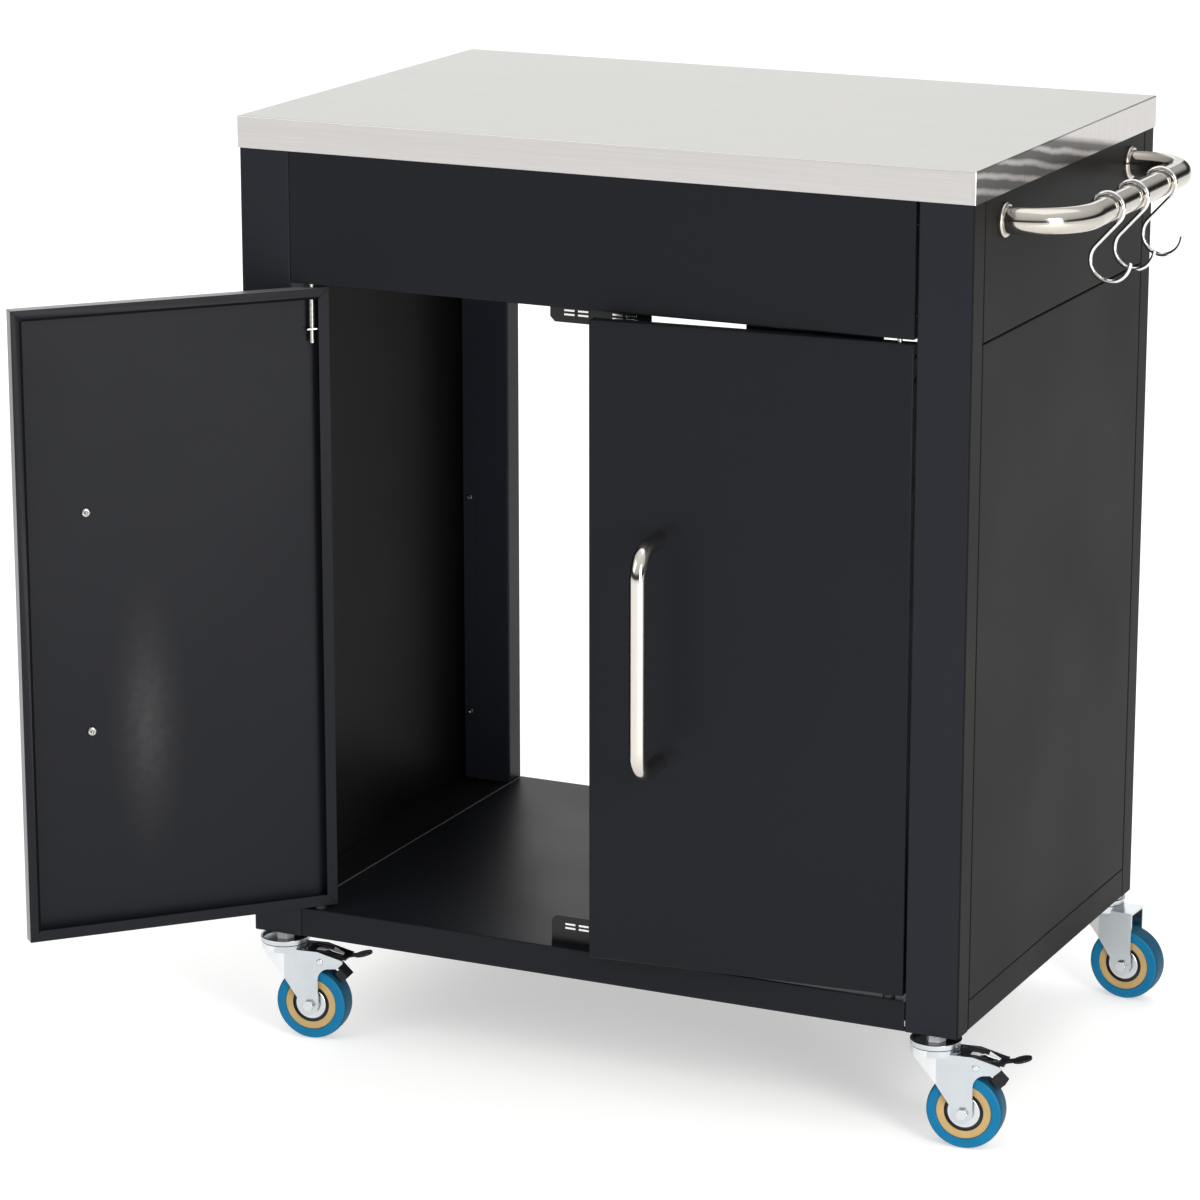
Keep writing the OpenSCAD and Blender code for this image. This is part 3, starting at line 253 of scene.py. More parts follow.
def polishedSteel(name, colour, rough, along="Z"):
    # bright tube and wire: faint lengthwise polishing marks, small changes in gloss
    material, nodes, links, shader = newMaterial(name)
    stretch = [polish["across"]] * 3
    stretch["XYZ".index(along)] = polish["along"]
    marks = noiseNode(nodes, links, objectPoints(nodes, links, stretch), 1.0, 2, 0.6)
    cloud = noiseNode(nodes, links, objectPoints(nodes, links), polish["clouds"], 2)
    dark = [c * polish["darker"] for c in colour]
    linkShader(links, shader, mixColours(nodes, links, marks, dark, colour),
               rangeNode(nodes, links, cloud, *rough),
               bumpNode(nodes, links, marks, polish["mark"], polish["deep"]))
    shader.inputs["Metallic"].default_value = 1.0
    return material


plating = {
    "clouds": 55, "waves": 120,      # features per metre
    "darker": 0.93, "rough": (0.20, 0.27), "wave": 0.05, "deep": 0.0003,
}


def zincPlate(name, colour, metallic=1.0):
    # bright zinc plating on pressed steel: soft clouds, a little waviness
    material, nodes, links, shader = newMaterial(name)
    points = objectPoints(nodes, links)
    cloud = noiseNode(nodes, links, points, plating["clouds"], 2)
    wave = noiseNode(nodes, links, points, plating["waves"], 2)
    dark = [c * plating["darker"] for c in colour]
    linkShader(links, shader, mixColours(nodes, links, cloud, dark, colour),
               rangeNode(nodes, links, cloud, *plating["rough"]),
               bumpNode(nodes, links, wave, plating["wave"], plating["deep"]))
    shader.inputs["Metallic"].default_value = metallic
    return material


plastic = {"grain": 1500, "deep": 0.0003}


def mouldedPlastic(name, dark, light, rough, size, bump, level=0.3):
    material, nodes, links, shader = newMaterial(name)
    points = objectPoints(nodes, links)
    cloud = noiseNode(nodes, links, points, size, 3)
    fine = noiseNode(nodes, links, points, plastic["grain"], 2)
    linkShader(links, shader, mixColours(nodes, links, cloud, dark, light),
               rangeNode(nodes, links, cloud, *rough),
               bumpNode(nodes, links, fine, bump, plastic["deep"]))
    shader.inputs["Specular IOR Level"].default_value = level
    return material


# One paint, in the tones that the photograph shows; the copies for sides, edges, inner faces,
# folds, lips and front posts are painted light and shade: tint, shine level, added gloss
coat = "charcoal powder coat"
doorTint = (0.95, 1.0, 1.18)
paintBlack = powderCoat(coat, doorTint)
# the side faces: a copy of the paint toned for the light on the sides, painted light and shade
paintSide = powderCoat(coat + ", side", (1.25, 1.14, 0.98), 0.03, shine=(1.0, 0.99, 0.90))
paintEdge = powderCoat(coat + ", sheet edges", (17, 16.5, 15.2), 0.5, 0.10)     # painted highlight: thin edges that catch the light
paintInside = powderCoat(coat + ", inside", (1.05, 1.05, 1.12))
# a lit copy of the paint for inner faces that look forward: painted light
paintLitInner = powderCoat(coat + ", inner posts", (7.5, 7.7, 9.0))
# a painted highlight along the shelf's side folds
paintFoldHighlight = powderCoat(coat + ", fold highlight", (22, 22, 22), 0.3)
# painted shadow beside the inner edge of a door's lip
paintLipShadow = powderCoat(coat + ", lip shadow", (0.45, 0.45, 0.5), 0.02)
# the left door's inside paint, with a painted highlight on it
paintDoor = powderCoat(coat + ", door", doorTint)
addPaintedHighlight(paintDoor)
# a lit copy of the paint for the front posts: painted light
paintLitPost = powderCoat(coat + ", front posts", (1.52, 1.60, 1.86))
paintTrim = powderCoat("black trim paint", (0.9, 0.9, 0.9), 0.35, 0.06)

# Steel and plating: colour, roughness, then what each finish adds
steelTop = brushedSteel("stainless worktop", "X", (0.59, 0.585, 0.56), (0.42, 0.50),
                        0.02, 0.3, 0.0)
steelFront = brushedSteel("stainless skirt, front", "X", (0.67, 0.645, 0.635), (0.26, 0.36),
                          0.04, 0.45)
steelSide = brushedSteel("stainless skirt, side", "Z", (0.68, 0.65, 0.64), (0.26, 0.36),
                         0.05, 0.7)
# the side skirt carries painted reflections
addPaintedReflections(steelSide)
steelMitre = polishedSteel("ground mitre", (0.80, 0.78, 0.76), (0.20, 0.30))
steelBar = polishedSteel("polished bar tube", (0.56, 0.525, 0.47), (0.10, 0.15), "Y")
steelHandle = polishedSteel("polished handle tube", (0.66, 0.625, 0.575), (0.10, 0.16))
steelHook = polishedSteel("bright hook wire", (0.72, 0.72, 0.72), (0.06, 0.12))
zinc = zincPlate("bright zinc", (0.60, 0.64, 0.665))
# a painted highlight for the fork's folded edges
zincWingHighlight = zincPlate("bright zinc, folded edge", (0.82, 0.84, 0.85), 0.8)
zincCap = zincPlate("dust cap zinc", (0.68, 0.70, 0.71))
zincClip = zincPlate("clip plating", (0.90, 0.92, 0.93), 0.25)
# painted shade: darker zinc for the races' upward faces and the right spring bracket
zincShade = zincPlate("zinc in painted shade", (0.24, 0.265, 0.285))
screwSteel = zincPlate("screw plating", (0.50, 0.49, 0.46))
# painted shade on the screw shanks that show through gaps
threadShadeSteel = zincPlate("thread in painted shade", (0.05, 0.05, 0.048))
springSteel = polishedSteel("spring wire", (0.74, 0.74, 0.73), (0.16, 0.26))
poleSteel = polishedSteel("magnet poles", (0.85, 0.85, 0.84), (0.18, 0.30))

# Plastic and rubber: two tones, roughness, size of the clouds, bump, shine level
tyreSide = mouldedPlastic("blue tyre", (0.002, 0.140, 0.290), (0.004, 0.165, 0.335),
                          (0.34, 0.44), 60, 0.04, 0.15)
tyreTread = mouldedPlastic("blue tyre tread", (0.006, 0.060, 0.110), (0.009, 0.076, 0.138),
                           (0.44, 0.54), 90, 0.10, 0.15)
coreTan = mouldedPlastic("tan wheel core", (0.45, 0.305, 0.120), (0.52, 0.355, 0.150),
                         (0.34, 0.44), 45, 0.05)
# painted shade in the core's recess
coreDark = mouldedPlastic("wheel core, inside", (0.025, 0.027, 0.030), (0.040, 0.043, 0.047),
                          (0.40, 0.50), 60, 0.05)
washerBlack = mouldedPlastic("black nylon", (0.010, 0.010, 0.010), (0.016, 0.016, 0.016),
                             (0.40, 0.50), 60, 0.03)
shoeRubber = mouldedPlastic("black rubber", (0.010, 0.010, 0.010), (0.018, 0.018, 0.018),
                            (0.55, 0.70), 120, 0.12)
print("materials made")


# Mesh helpers
metre = 0.001     # metres in a millimetre


def addPiece(name, shape, body, finish, nodes=(), move=Matrix.Identity(4)):
    # shape is in millimetres and move puts it in its place, or it is a mesh in metres
    mesh = shape if isinstance(shape, bpy.types.Mesh) else finishMesh(name, shape, move)
    piece = bpy.data.objects.new(name, mesh)
    scene.collection.objects.link(piece)
    for material in finish:
        mesh.materials.append(material)
    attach(piece, body)
    if nodes:
        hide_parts(*nodes)
    return piece


def addPanel(name, bm, finish, node, move=Matrix.Identity(4), body="cart", wall=cabinet["sheet"]):
    # a folded and painted sheet
    piece = addPiece(name, bm, body, finish, (node,), move)
    return addModifiers(piece, wall, cabinet["cutRound"])


def finishMesh(name, bm, move):
    bmesh.ops.transform(bm, matrix=Matrix.Scale(metre, 4) @ move, verts=bm.verts)
    if move.determinant() < 0:
        bmesh.ops.reverse_faces(bm, faces=bm.faces)
    for face in bm.faces:
        face.smooth = True
    mesh = bpy.data.meshes.new(name)
    bm.to_mesh(mesh)
    bm.free()
    return mesh


def addModifiers(piece, sheet=0.0, edge=0.0, steps=2, limit=50):
    if sheet:
        thick = piece.modifiers.new("sheet", "SOLIDIFY")
        thick.thickness = sheet * metre
        thick.offset = -1
        thick.use_even_offset = True
    if edge:
        soft = piece.modifiers.new("edge", "BEVEL")
        soft.width = edge * metre
        soft.segments = steps
        soft.limit_method = "ANGLE"
        soft.angle_limit = math.radians(limit)
        soft.miter_outer = "MITER_ARC"
        soft.use_clamp_overlap = True
    flat = piece.modifiers.new("normals", "WEIGHTED_NORMAL")
    flat.weight = 80
    return piece


def addFace(bm, points, normal, index=0):
    # one face of a shell, turned so that it looks along normal
    corners = []
    for point in points:
        spot = Vector(point)
        found = next((v for v in bm.verts if (v.co - spot).length < 1e-4), None)
        corners.append(found or bm.verts.new(spot))
    face = bm.faces.new(corners)
    face.normal_update()
    if face.normal.dot(Vector(normal)) < 0:
        face.normal_flip()
    face.material_index = index
    return face


def roundFolds(bm, radius, steps=3, only=None):
    bm.normal_update()
    sharp = math.radians(30)
    folds = [e for e in bm.edges if len(e.link_faces) == 2 and e.calc_face_angle(0) > sharp
             and (only is None or only(e))]
    if folds:
        bmesh.ops.bevel(bm, geom=folds, offset=radius, segments=steps, profile=0.5,
                        affect="EDGES", clamp_overlap=True)


def neighbours(row, closed):
    return list(zip(row, row[1:] + row[:1])) if closed else list(zip(row, row[1:]))


def stripShell(points, axis, start, end, closed=False):
    # a folded strip: its outside line in a plane, drawn with the outside on the right
    bm = bmesh.new()
    for (a, b), (c, d) in neighbours(points, closed):
        corners = [insertAxis(pair, axis, level) for pair, level in
                   (((a, b), start), ((c, d), start), ((c, d), end), ((a, b), end))]
        addFace(bm, corners, insertAxis((d - b, a - c), axis, 0))
    return bm


def insertAxis(pair, axis, value):
    spot = list(pair)
    spot.insert("XYZ".index(axis), value)
    return tuple(spot)


def sideCorners(low, high, axis, way, inset=0):
    # the corners of one side of a box, drawn in by inset
    a, b = [j for j in range(3) if j != axis]
    corners = []
    for p, q in ((0, 0), (1, 0), (1, 1), (0, 1)):
        spot = [0, 0, 0]
        spot[axis] = (low, high)[way > 0][axis]
        spot[a] = (low, high)[p][a] + (-inset if p else inset)
        spot[b] = (low, high)[q][b] + (-inset if q else inset)
        corners.append(spot)
    return corners


def trayShell(low, high, openTo, lip=0.0):
    # five walls of a box, open on one side, with a lip turned in round that side
    opening = ("XYZ".index(openTo[1]), 1 if openTo[0] == "+" else -1)
    normalOf = lambda axis, way: [way if j == axis else 0 for j in range(3)]
    bm = bmesh.new()
    for side in ((axis, way) for axis in range(3) for way in (-1, 1)):
        if side != opening:
            addFace(bm, sideCorners(low, high, *side), normalOf(*side))
    if lip:
        outer = sideCorners(low, high, *opening)
        inner = sideCorners(low, high, *opening, lip)
        for (a, b), (c, d) in neighbours(list(zip(outer, inner)), True):
            addFace(bm, [a, c, d, b], normalOf(*opening))
    return bm


def joinRings(bm, pairs):
    for low, high in pairs:
        for k in range(len(low)):
            n = (k + 1) % len(low)
            bm.faces.new((low[k], low[n], high[n], high[k]))


def lathe(profile, steps=64, closed=True):
    # turns a line of (radius, height) round Z
    bm = bmesh.new()
    rings = []
    for radius, height in profile:
        rings.append([bm.verts.new((radius * math.cos(2 * math.pi * k / steps),
                                    radius * math.sin(2 * math.pi * k / steps), height))
                      for k in range(steps)])
    joinRings(bm, neighbours(rings, closed))
    bmesh.ops.recalc_face_normals(bm, faces=bm.faces)
    return bm


def sweptTube(path, radius, around, tipRound=0.0):
    # a round bar along a path, with closed ends, rounded over by tipRound
    points = [Vector(p) for p in path]
    count = len(points)
    heading = [(points[min(i + 1, count - 1)] - points[max(i - 1, 0)]).normalized()
               for i in range(count)]
    side = heading[0].orthogonal().normalized()
    spots = [(points[i], heading[i], radius) for i in range(count)]
    if tipRound:
        steps = 4
        first, last = [], []
        for k in range(1, steps + 1):
            a = math.pi / 2 * k / steps
            size = radius - tipRound * (1 - math.cos(a))
            reach = tipRound * math.sin(a)
            first.insert(0, (points[0] - heading[0] * reach, heading[0], size))
            last.append((points[-1] + heading[-1] * reach, heading[-1], size))
        spots = first + spots + last
    bm = bmesh.new()
    rings = []
    for centre, ahead, size in spots:
        side = (side - ahead * side.dot(ahead)).normalized()
        across = ahead.cross(side)
        rings.append([bm.verts.new(centre + (side * math.cos(2 * math.pi * k / around)
                                             + across * math.sin(2 * math.pi * k / around)) * size)
                      for k in range(around)])
    joinRings(bm, neighbours(rings, False))
    bm.faces.new(list(reversed(rings[0])))
    bm.faces.new(rings[-1])
    bmesh.ops.recalc_face_normals(bm, faces=bm.faces)
    return bm


def addShape(whole, bm, move):
    # puts a moved copy of bm into whole
    scrap = bpy.data.meshes.new("scrap")
    bm.to_mesh(scrap)
    scrap.transform(move)
    if move.determinant() < 0:
        scrap.flip_normals()
    whole.from_mesh(scrap)
    bpy.data.meshes.remove(scrap)


def arcPoints(centre, radius, start, end, steps):
    angles = [math.radians(start + (end - start) * k / steps) for k in range(steps + 1)]
    return [(centre[0] + radius * math.cos(a), centre[1] + radius * math.sin(a)) for a in angles]


def roundedCopy(node, body, finish, edge=0.3, steps=2, limit=40):
    # the CAD node's own shape with its sharp edges eased
    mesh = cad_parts[node].data.copy()
    mesh.transform(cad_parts[node].matrix_world)
    mesh.materials.clear()
    bm = bmesh.new()
    bm.from_mesh(mesh)
    bmesh.ops.remove_doubles(bm, verts=bm.verts, dist=2e-6)
    bmesh.ops.dissolve_limit(bm, angle_limit=math.radians(1.0), verts=bm.verts, edges=bm.edges)
    for face in bm.faces:
        face.smooth = True
        face.material_index = 0
    clean = bpy.data.meshes.new(node + ".shape")
    bm.to_mesh(clean)
    bm.free()
    piece = addPiece(node + ".piece", clean, body, finish, (node,))
    return addModifiers(piece, 0, edge, steps, limit)


# Worktop: a pan of stainless sheet with mitred corners
worktop = {"fit": 0.3, "foldRadius": 1.3, "cornerRadius": 0.8, "cutRound": 0.2}


def runsAlong(edge, axis):
    ahead = (edge.verts[0].co - edge.verts[1].co).normalized()
    return abs(ahead["XYZ".index(axis)]) > 0.9


def makeWorktop():
    x = halfW + worktop["fit"] + cabinet["topSheet"]
    y = halfD + worktop["fit"] + cabinet["topSheet"]
    bm = trayShell((-x, -y, cabinet["skirt"]), (x, y, cabinet["top"]), "-Z")
    roundFolds(bm, worktop["foldRadius"], 4, lambda e: not runsAlong(e, "Z"))
    roundFolds(bm, worktop["cornerRadius"], 2, lambda e: runsAlong(e, "Z"))
    bm.normal_update()
    for face in bm.faces:
        n = face.normal
        if n.z > 0.6:
            face.material_index = 0
        elif min(abs(n.x), abs(n.y)) > 0.3:
            face.material_index = 3
        else:
            face.material_index = 1 if abs(n.y) > abs(n.x) else 2
    piece = addPiece("worktop.pan", bm, "cart", (steelTop, steelFront, steelSide, steelMitre),
                     ("worktop",))
    addModifiers(piece, cabinet["topSheet"], worktop["cutRound"])


makeWorktop()
roundedCopy("worktop_stiffeners", "cart", (paintInside,))
print("worktop made")


# Corner posts: folded boxes with a welded foot
post = {"wall": 1.2, "radius": 2.4, "footInset": 1.6}


def makePost(name, right, rear):
    x0, x1 = innerX, halfW
    y0, y1 = -halfD, -halfD + cabinet["postDepth"]
    low = cabinet["feet"]
    bm = stripShell([(x0, y0), (x1, y0), (x1, y1), (x0, y1)], "Z", low, underTop, True)
    roundFolds(bm, post["radius"], 4)
    inset = post["footInset"]
    addFace(bm, [(x0 + inset, y0 + inset, low), (x1 - inset, y0 + inset, low),
                 (x1 - inset, y1 - inset, low), (x0 + inset, y1 - inset, low)], (0, 0, -1))
    bm.normal_update()
    # painted light and shade: side faces take the side's tone, the rear posts' inner faces and the
    # front posts lit tones
    for face in bm.faces:
        inner = rear and face.normal.y > 0.5
        face.material_index = 1 if face.normal.x > 0.5 else 2 if inner else 0
    move = Matrix.Diagonal((1 if right else -1, -1 if rear else 1, 1, 1))
    front = paintBlack if rear else paintLitPost
    addPanel(name + ".box", bm, (front, paintSide, paintLitInner), name, move, wall=post["wall"])


for endName, atRear in (("front", False), ("rear", True)):
    for sideName, onRight in sides:
        makePost("post_" + endName + "_" + sideName, onRight, atRear)
print("posts made")


# Fascia and rear upper panel: folded strips with end flanges
fascia = {"topFlange": 20, "lowFlange": 15, "lip": 15, "gapLeft": 0.5, "gapRight": 3.0,
          "endInset": 1.2}


def makeUpperPanel(name, node, gapLeft, gapRight, rear):
    left, right = gapLeft - innerX, innerX - gapRight
    y0 = -halfD
    y1 = y0 + fascia["lowFlange"]
    low = cabinet["fascia"]
    line = [(y0 + fascia["topFlange"], underTop), (y0, underTop), (y0, low), (y1, low),
            (y1, low + fascia["lip"])]
    bm = stripShell(line, "X", left, right)
    roundFolds(bm, cabinet["foldRadius"], 4)
    inset = fascia["endInset"]
    for x, way in ((left, -1), (right, 1)):
        addFace(bm, [(x, y0 + inset, low + inset), (x, y1 - inset, low + inset),
                     (x, y1 - inset, underTop - inset), (x, y0 + inset, underTop - inset)],
                (way, 0, 0))
    move = Matrix.Diagonal((1, -1 if rear else 1, 1, 1))
    addPanel(name, bm, (paintBlack,), node, move)


stopStrip = {"from": 150, "to": 288, "low": 771.6, "high": 790, "clear": 0.02, "cutRound": 0.2}


def makeStopStrip():
    # a dark strip behind the right door's top, welded to the fascia's lip
    y = -halfD + fascia["lowFlange"] + stopStrip["clear"]
    x0, x1, low, high = (stopStrip[key] for key in ("from", "to", "low", "high"))
    bm = bmesh.new()
    addFace(bm, [(x0, y, low), (x1, y, low), (x1, y, high), (x0, y, high)], (0, -1, 0))
    piece = addPiece("fascia.stop", bm, "cart", (paintTrim,), ())
    addModifiers(piece, cabinet["sheet"], stopStrip["cutRound"])


makeStopStrip()
makeUpperPanel("fascia.panel", "fascia", fascia["gapLeft"], fascia["gapRight"], False)
makeUpperPanel("rear.panel", "rear_upper_panel", fascia["gapLeft"], fascia["gapLeft"], True)
print("fascia made")


# Side panels: pans between the posts, open to the inside
sidePanel = {"flange": 15, "seam": 0.4, "levelSeam": 1.0, "radius": 1.5}


def makeSidePanel(node, right, low, high):
    y = halfD - cabinet["postDepth"] - sidePanel["seam"]
    inner = halfW - sidePanel["flange"] - cabinet["sheet"]
    bm = trayShell((inner, -y, low), (halfW, y, high), "-X")
    roundFolds(bm, sidePanel["radius"], 4)
    move = Matrix.Diagonal((1 if right else -1, 1, 1, 1))
    bm.normal_update()
    # painted light: the pan's rear end takes the lit inner tone, the rest the side's tone
    for face in bm.faces:
        face.material_index = 1 if face.normal.y > 0.5 else 0
    addPanel(node + ".pan", bm, (paintSide, paintLitInner), node, move)


seamLow = cabinet["seam"] - sidePanel["levelSeam"] / 2
seamHigh = cabinet["seam"] + sidePanel["levelSeam"] / 2
for sideName, onRight in sides:
    makeSidePanel("upper_side_panel_" + sideName, onRight, seamHigh, underTop)
    makeSidePanel("lower_side_panel_" + sideName, onRight, cabinet["shelf"], seamLow)
print("side panels made")


# Shelf pan and the side rails beside it
shelf = {"fit": 0.3, "lip": 12, "sideFlange": 20, "radius": 1.7, "highlightBand": 1.5,
         "flangeInset": 1.2, "flangeDrop": 1.1}
rail = {"lip": 15, "radius": 1.5}


def cutAcross(bm, spot, normal):
    bmesh.ops.bisect_plane(bm, geom=bm.verts[:] + bm.edges[:] + bm.faces[:],
                           plane_co=spot, plane_no=normal)


def makeShelf():
    x = innerX - shelf["fit"]
    low, high = cabinet["feet"], cabinet["shelf"]
    line = [(-halfD + shelf["lip"], low), (-halfD, low), (-halfD, high), (halfD, high),
            (halfD, low), (halfD - shelf["lip"], low)]
    bm = stripShell(list(reversed(line)), "X", -x, x)
    roundFolds(bm, shelf["radius"], 4)
    y = halfD - shelf["flangeInset"]
    upper, lower = high - shelf["flangeDrop"], high - shelf["sideFlange"]
    for way in (-1, 1):
        addFace(bm, [(way * x, -y, upper), (way * x, y, upper), (way * x, y, lower),
                     (way * x, -y, lower)], (way, 0, 0))
        cutAcross(bm, (way * (x - shelf["highlightBand"]), 0, 0), (1, 0, 0))
    bm.normal_update()
    for face in bm.faces:
        # painted highlight: the folds along the sides are paler
        outer = abs(face.calc_center_median().x) > x - shelf["highlightBand"]
        face.material_index = 1 if outer and face.normal.z > 0.9 else 0
    addPanel("shelf.pan", bm, (paintBlack, paintFoldHighlight), "shelf")


def makeRails():
    y = halfD - cabinet["postDepth"] - sidePanel["seam"]
    low, high = cabinet["feet"], cabinet["shelf"]
    whole = bmesh.new()
    line = [(halfW - rail["lip"], low), (halfW, low), (halfW, high), (innerX, high),
            (innerX, high - shelf["sideFlange"])]
    for way in (1, -1):
        bm = stripShell(list(reversed(line)), "Y", -y, y)
        bmesh.ops.reverse_faces(bm, faces=bm.faces)     # across Y the outside lies on the left
        roundFolds(bm, rail["radius"], 3)
        addShape(whole, bm, Matrix.Diagonal((way, 1, 1, 1)))
        bm.free()
    # painted light and shade: the rails take the side's tone
    addPanel("rails.folded", whole, (paintSide,), "side_base_rails")


makeShelf()
makeRails()
print("shelf and rails made")


# Pan-head screws with a pressed cross
screw = {
    "radius": 3.6, "height": 2.0, "shank": 1.9, "length": 8, "sides": 32, "domeSteps": 5,
    # parts of the head's radius or height
    "flat": 0.62, "rim": 0.3, "crossLong": 0.54, "crossWide": 0.13, "crossDeep": 0.55,
    "crossTaper": 0.62,
    "sideX": 371.5, "sideY": 220.1, "sideZ": (217.75, 458.75, 699.75, 802.5, 886.5),
    "upperY": 242.5, "upperZ": (802.5, 886.5),
    "shelfX": 324.7, "shelfY": 120, "shelfZ": 131.5,
    "catchX": 42, "catchTop": (-233.8, 785.8), "catchLow": (-223.8, 142.7),
}


def screwShape(radius, height, shank, length):
    # the shank runs up Z from the seat, the head hangs below it
    flat, rim = radius * screw["flat"], screw["rim"]
    dome = []
    for k in range(1, screw["domeSteps"]):
        a = math.pi / 2 * k / screw["domeSteps"]
        level = -height * (rim + (1 - rim) * math.cos(a))
        dome.append((flat + (radius - flat) * math.sin(a), level))
    profile = [(flat, -height)] + dome + [(radius, -height * rim), (radius, 0), (shank, 0),
                                          (shank, length)]
    around = screw["sides"]
    bm = lathe(profile, around, False)
    bm.verts.ensure_lookup_table()
    ring = [bm.verts[k] for k in range(around)]
    tip = [bm.verts[k - around] for k in range(around)]
    bm.faces.new(tip)
    long, wide = radius * screw["crossLong"], radius * screw["crossWide"]
    corner = [(long, wide), (wide, wide), (wide, long), (-wide, long), (-wide, wide), (-long, wide)]
    corner += [(-a, -b) for a, b in corner]
    taper, floor = screw["crossTaper"], height * (screw["crossDeep"] - 1)
    mouth = [bm.verts.new((a, b, -height)) for a, b in corner]
    deep = [bm.verts.new((a * taper, b * taper, floor)) for a, b in corner]
    rims = []
    for loop in (ring, mouth):
        for pair in neighbours(loop, True):
            rims.append(bm.edges.get(pair) or bm.edges.new(pair))
    bmesh.ops.triangle_fill(bm, edges=rims, use_beauty=True, normal=(0, 0, -1))
    joinRings(bm, [(mouth, deep)])
    bm.faces.new(deep)
    bmesh.ops.recalc_face_normals(bm, faces=bm.faces)
    # the shank takes the second finish, painted shade
    for face in bm.faces:
        face.material_index = 1 if face.calc_center_median().z > 0.01 else 0
    return bm


def screwSet(spots, size):
    # a screw at each spot, its shank pointing along way
    shape = screwShape(size["radius"], size["height"], screw["shank"], size["length"])
    whole = bmesh.new()
    for spot, way in spots:
        turn = Vector(way).to_track_quat("Z", "X").to_matrix().to_4x4()
        addShape(whole, shape, Matrix.Translation(spot) @ turn)
    shape.free()
    return whole


# Doors: pans with a mitred lip round the inside
door = {
    "thick": 14, "lip": 11, "hingeEdge": 322.7, "freeEdge": 4.2, "low": 145.5, "high": 776,
    "pin": (307, -242.5), "leftOpen": 132.5, "rightOpen": 4.5,
    "faceRadius": 1.7, "cornerRadius": 0.8, "lipRadius": 1.2, "line": 2.4,
    "near": 0.01,     # how close to a plane counts as in it
}


def doorPlace(right):
    # turns a closed right door, or its mirror image, to where it stands
    x, y = door["pin"]
    turn = math.radians(door["rightOpen"] if right else door["leftOpen"])
    move = (Matrix.Translation((x, y, 0)) @ Matrix.Rotation(turn, 4, "Z")
            @ Matrix.Translation((-x, -y, 0)))
    return move if right else Matrix.Diagonal((-1, 1, 1, 1)) @ move


def addDoorPiece(side, name, bm, finish, node=None):
    # name and node without the side that they start with
    nodes = (side + node,) if node else ()
    return addPiece(side + name, bm, side + "_door", finish, nodes,
                    doorPlace(side == "right"))


def middleY(edge):
    return sum(v.co.y for v in edge.verts) / 2


def makeDoor(side, right):
    low = (door["freeEdge"], -halfD, door["low"])
    high = (door["hingeEdge"], -halfD + door["thick"], door["high"])
    near = door["near"]
    bm = trayShell(low, high, "+Y", door["lip"])
    roundFolds(bm, door["faceRadius"], 4, lambda e: middleY(e) < low[1] + near)
    roundFolds(bm, door["cornerRadius"], 3, lambda e: runsAlong(e, "Y"))
    roundFolds(bm, door["lipRadius"], 3, lambda e: middleY(e) > high[1] - near)
    # width of the painted shadow on the lip
    width = door["line"]
    lineX = low[0] + door["lip"]
    lineZ = high[2] - door["lip"]
    cutAcross(bm, (lineX - width, 0, 0), (1, 0, 0))
    cutAcross(bm, (0, 0, lineZ + width), (0, 0, 1))
    bm.normal_update()
    for face in bm.faces:
        # painted highlight: the free edge and the top edge are paler than the faces; painted
        # shadow: a darker band on the lip beside its inner edge
        spot = face.calc_center_median()
        edge = face.normal.x < -0.5 or face.normal.z > 0.5
        onLip = face.normal.y > 0.9 and spot.y > high[1] - 1
        beside = (abs(spot.x - lineX + width / 2) < width
                  or abs(spot.z - lineZ - width / 2) < width)
        face.material_index = 1 if edge else 2 if onLip and beside else 0
    # three for the outside of the sheet, then three for its inside
    outside = (paintBlack, paintBlack if right else paintEdge, paintLipShadow)
    inside = (paintBlack if right else paintDoor, paintBlack, paintBlack)
    piece = addPanel(side + ".door.pan", bm, outside + inside, side + "_door",
                     doorPlace(right), side + "_door")
    piece.modifiers["sheet"].material_offset = len(outside)


bead = {"radius": 0.5, "sink": 0.25, "from": 1.6, "to": 10.4, "sides": 10, "tip": 0.4}


def makeBeads(side):
    # the welded mitres at the corners of a door's lip, ground nearly flush
    y = -halfD + door["thick"] - bead["sink"]
    whole = bmesh.new()
    for x, wayX in ((door["freeEdge"], 1), (door["hingeEdge"], -1)):
        for z, wayZ in ((door["low"], 1), (door["high"], -1)):
            path = [(x + wayX * reach, y, z + wayZ * reach)
                    for reach in (bead["from"], bead["to"])]
            bm = sweptTube(path, bead["radius"], bead["sides"], bead["tip"])
            addShape(whole, bm, Matrix.Identity(4))
            bm.free()
    addDoorPiece(side, ".door.beads", whole, (paintBlack,))


handle = {"radius": 8, "pitch": 220, "reach": 60, "bend": 28, "inset": 72, "sides": 40,
          "steps": 14}


def tubePath(size):
    # a U of tube in the plane of reach (first) and pitch (second)
    reach, pitch, bend, steps = (size[key] for key in ("reach", "pitch", "bend", "steps"))
    half = pitch / 2
    straight = 8
    path = [(0.0, -half)] + arcPoints((reach - bend, -half + bend), bend, -90, 0, steps)
    for k in range(1, straight):
        path.append((reach, -half + bend + (pitch - 2 * bend) * k / straight))
    return path + arcPoints((reach - bend, half - bend), bend, 0, 90, steps) + [(0.0, half)]


handleX = door["freeEdge"] + handle["inset"]
handleZ = (door["low"] + door["high"]) / 2


def makeHandle(side):
    path = [(handleX, -halfD - out, handleZ + up) for out, up in tubePath(handle)]
    bm = sweptTube(path, handle["radius"], handle["sides"])
    piece = addDoorPiece(side, ".handle.tube", bm, (steelHandle,), "_handle")
    addModifiers(piece, 0, 0.3)


handleScrew = {"radius": 4.6, "height": 2.6, "length": 9}


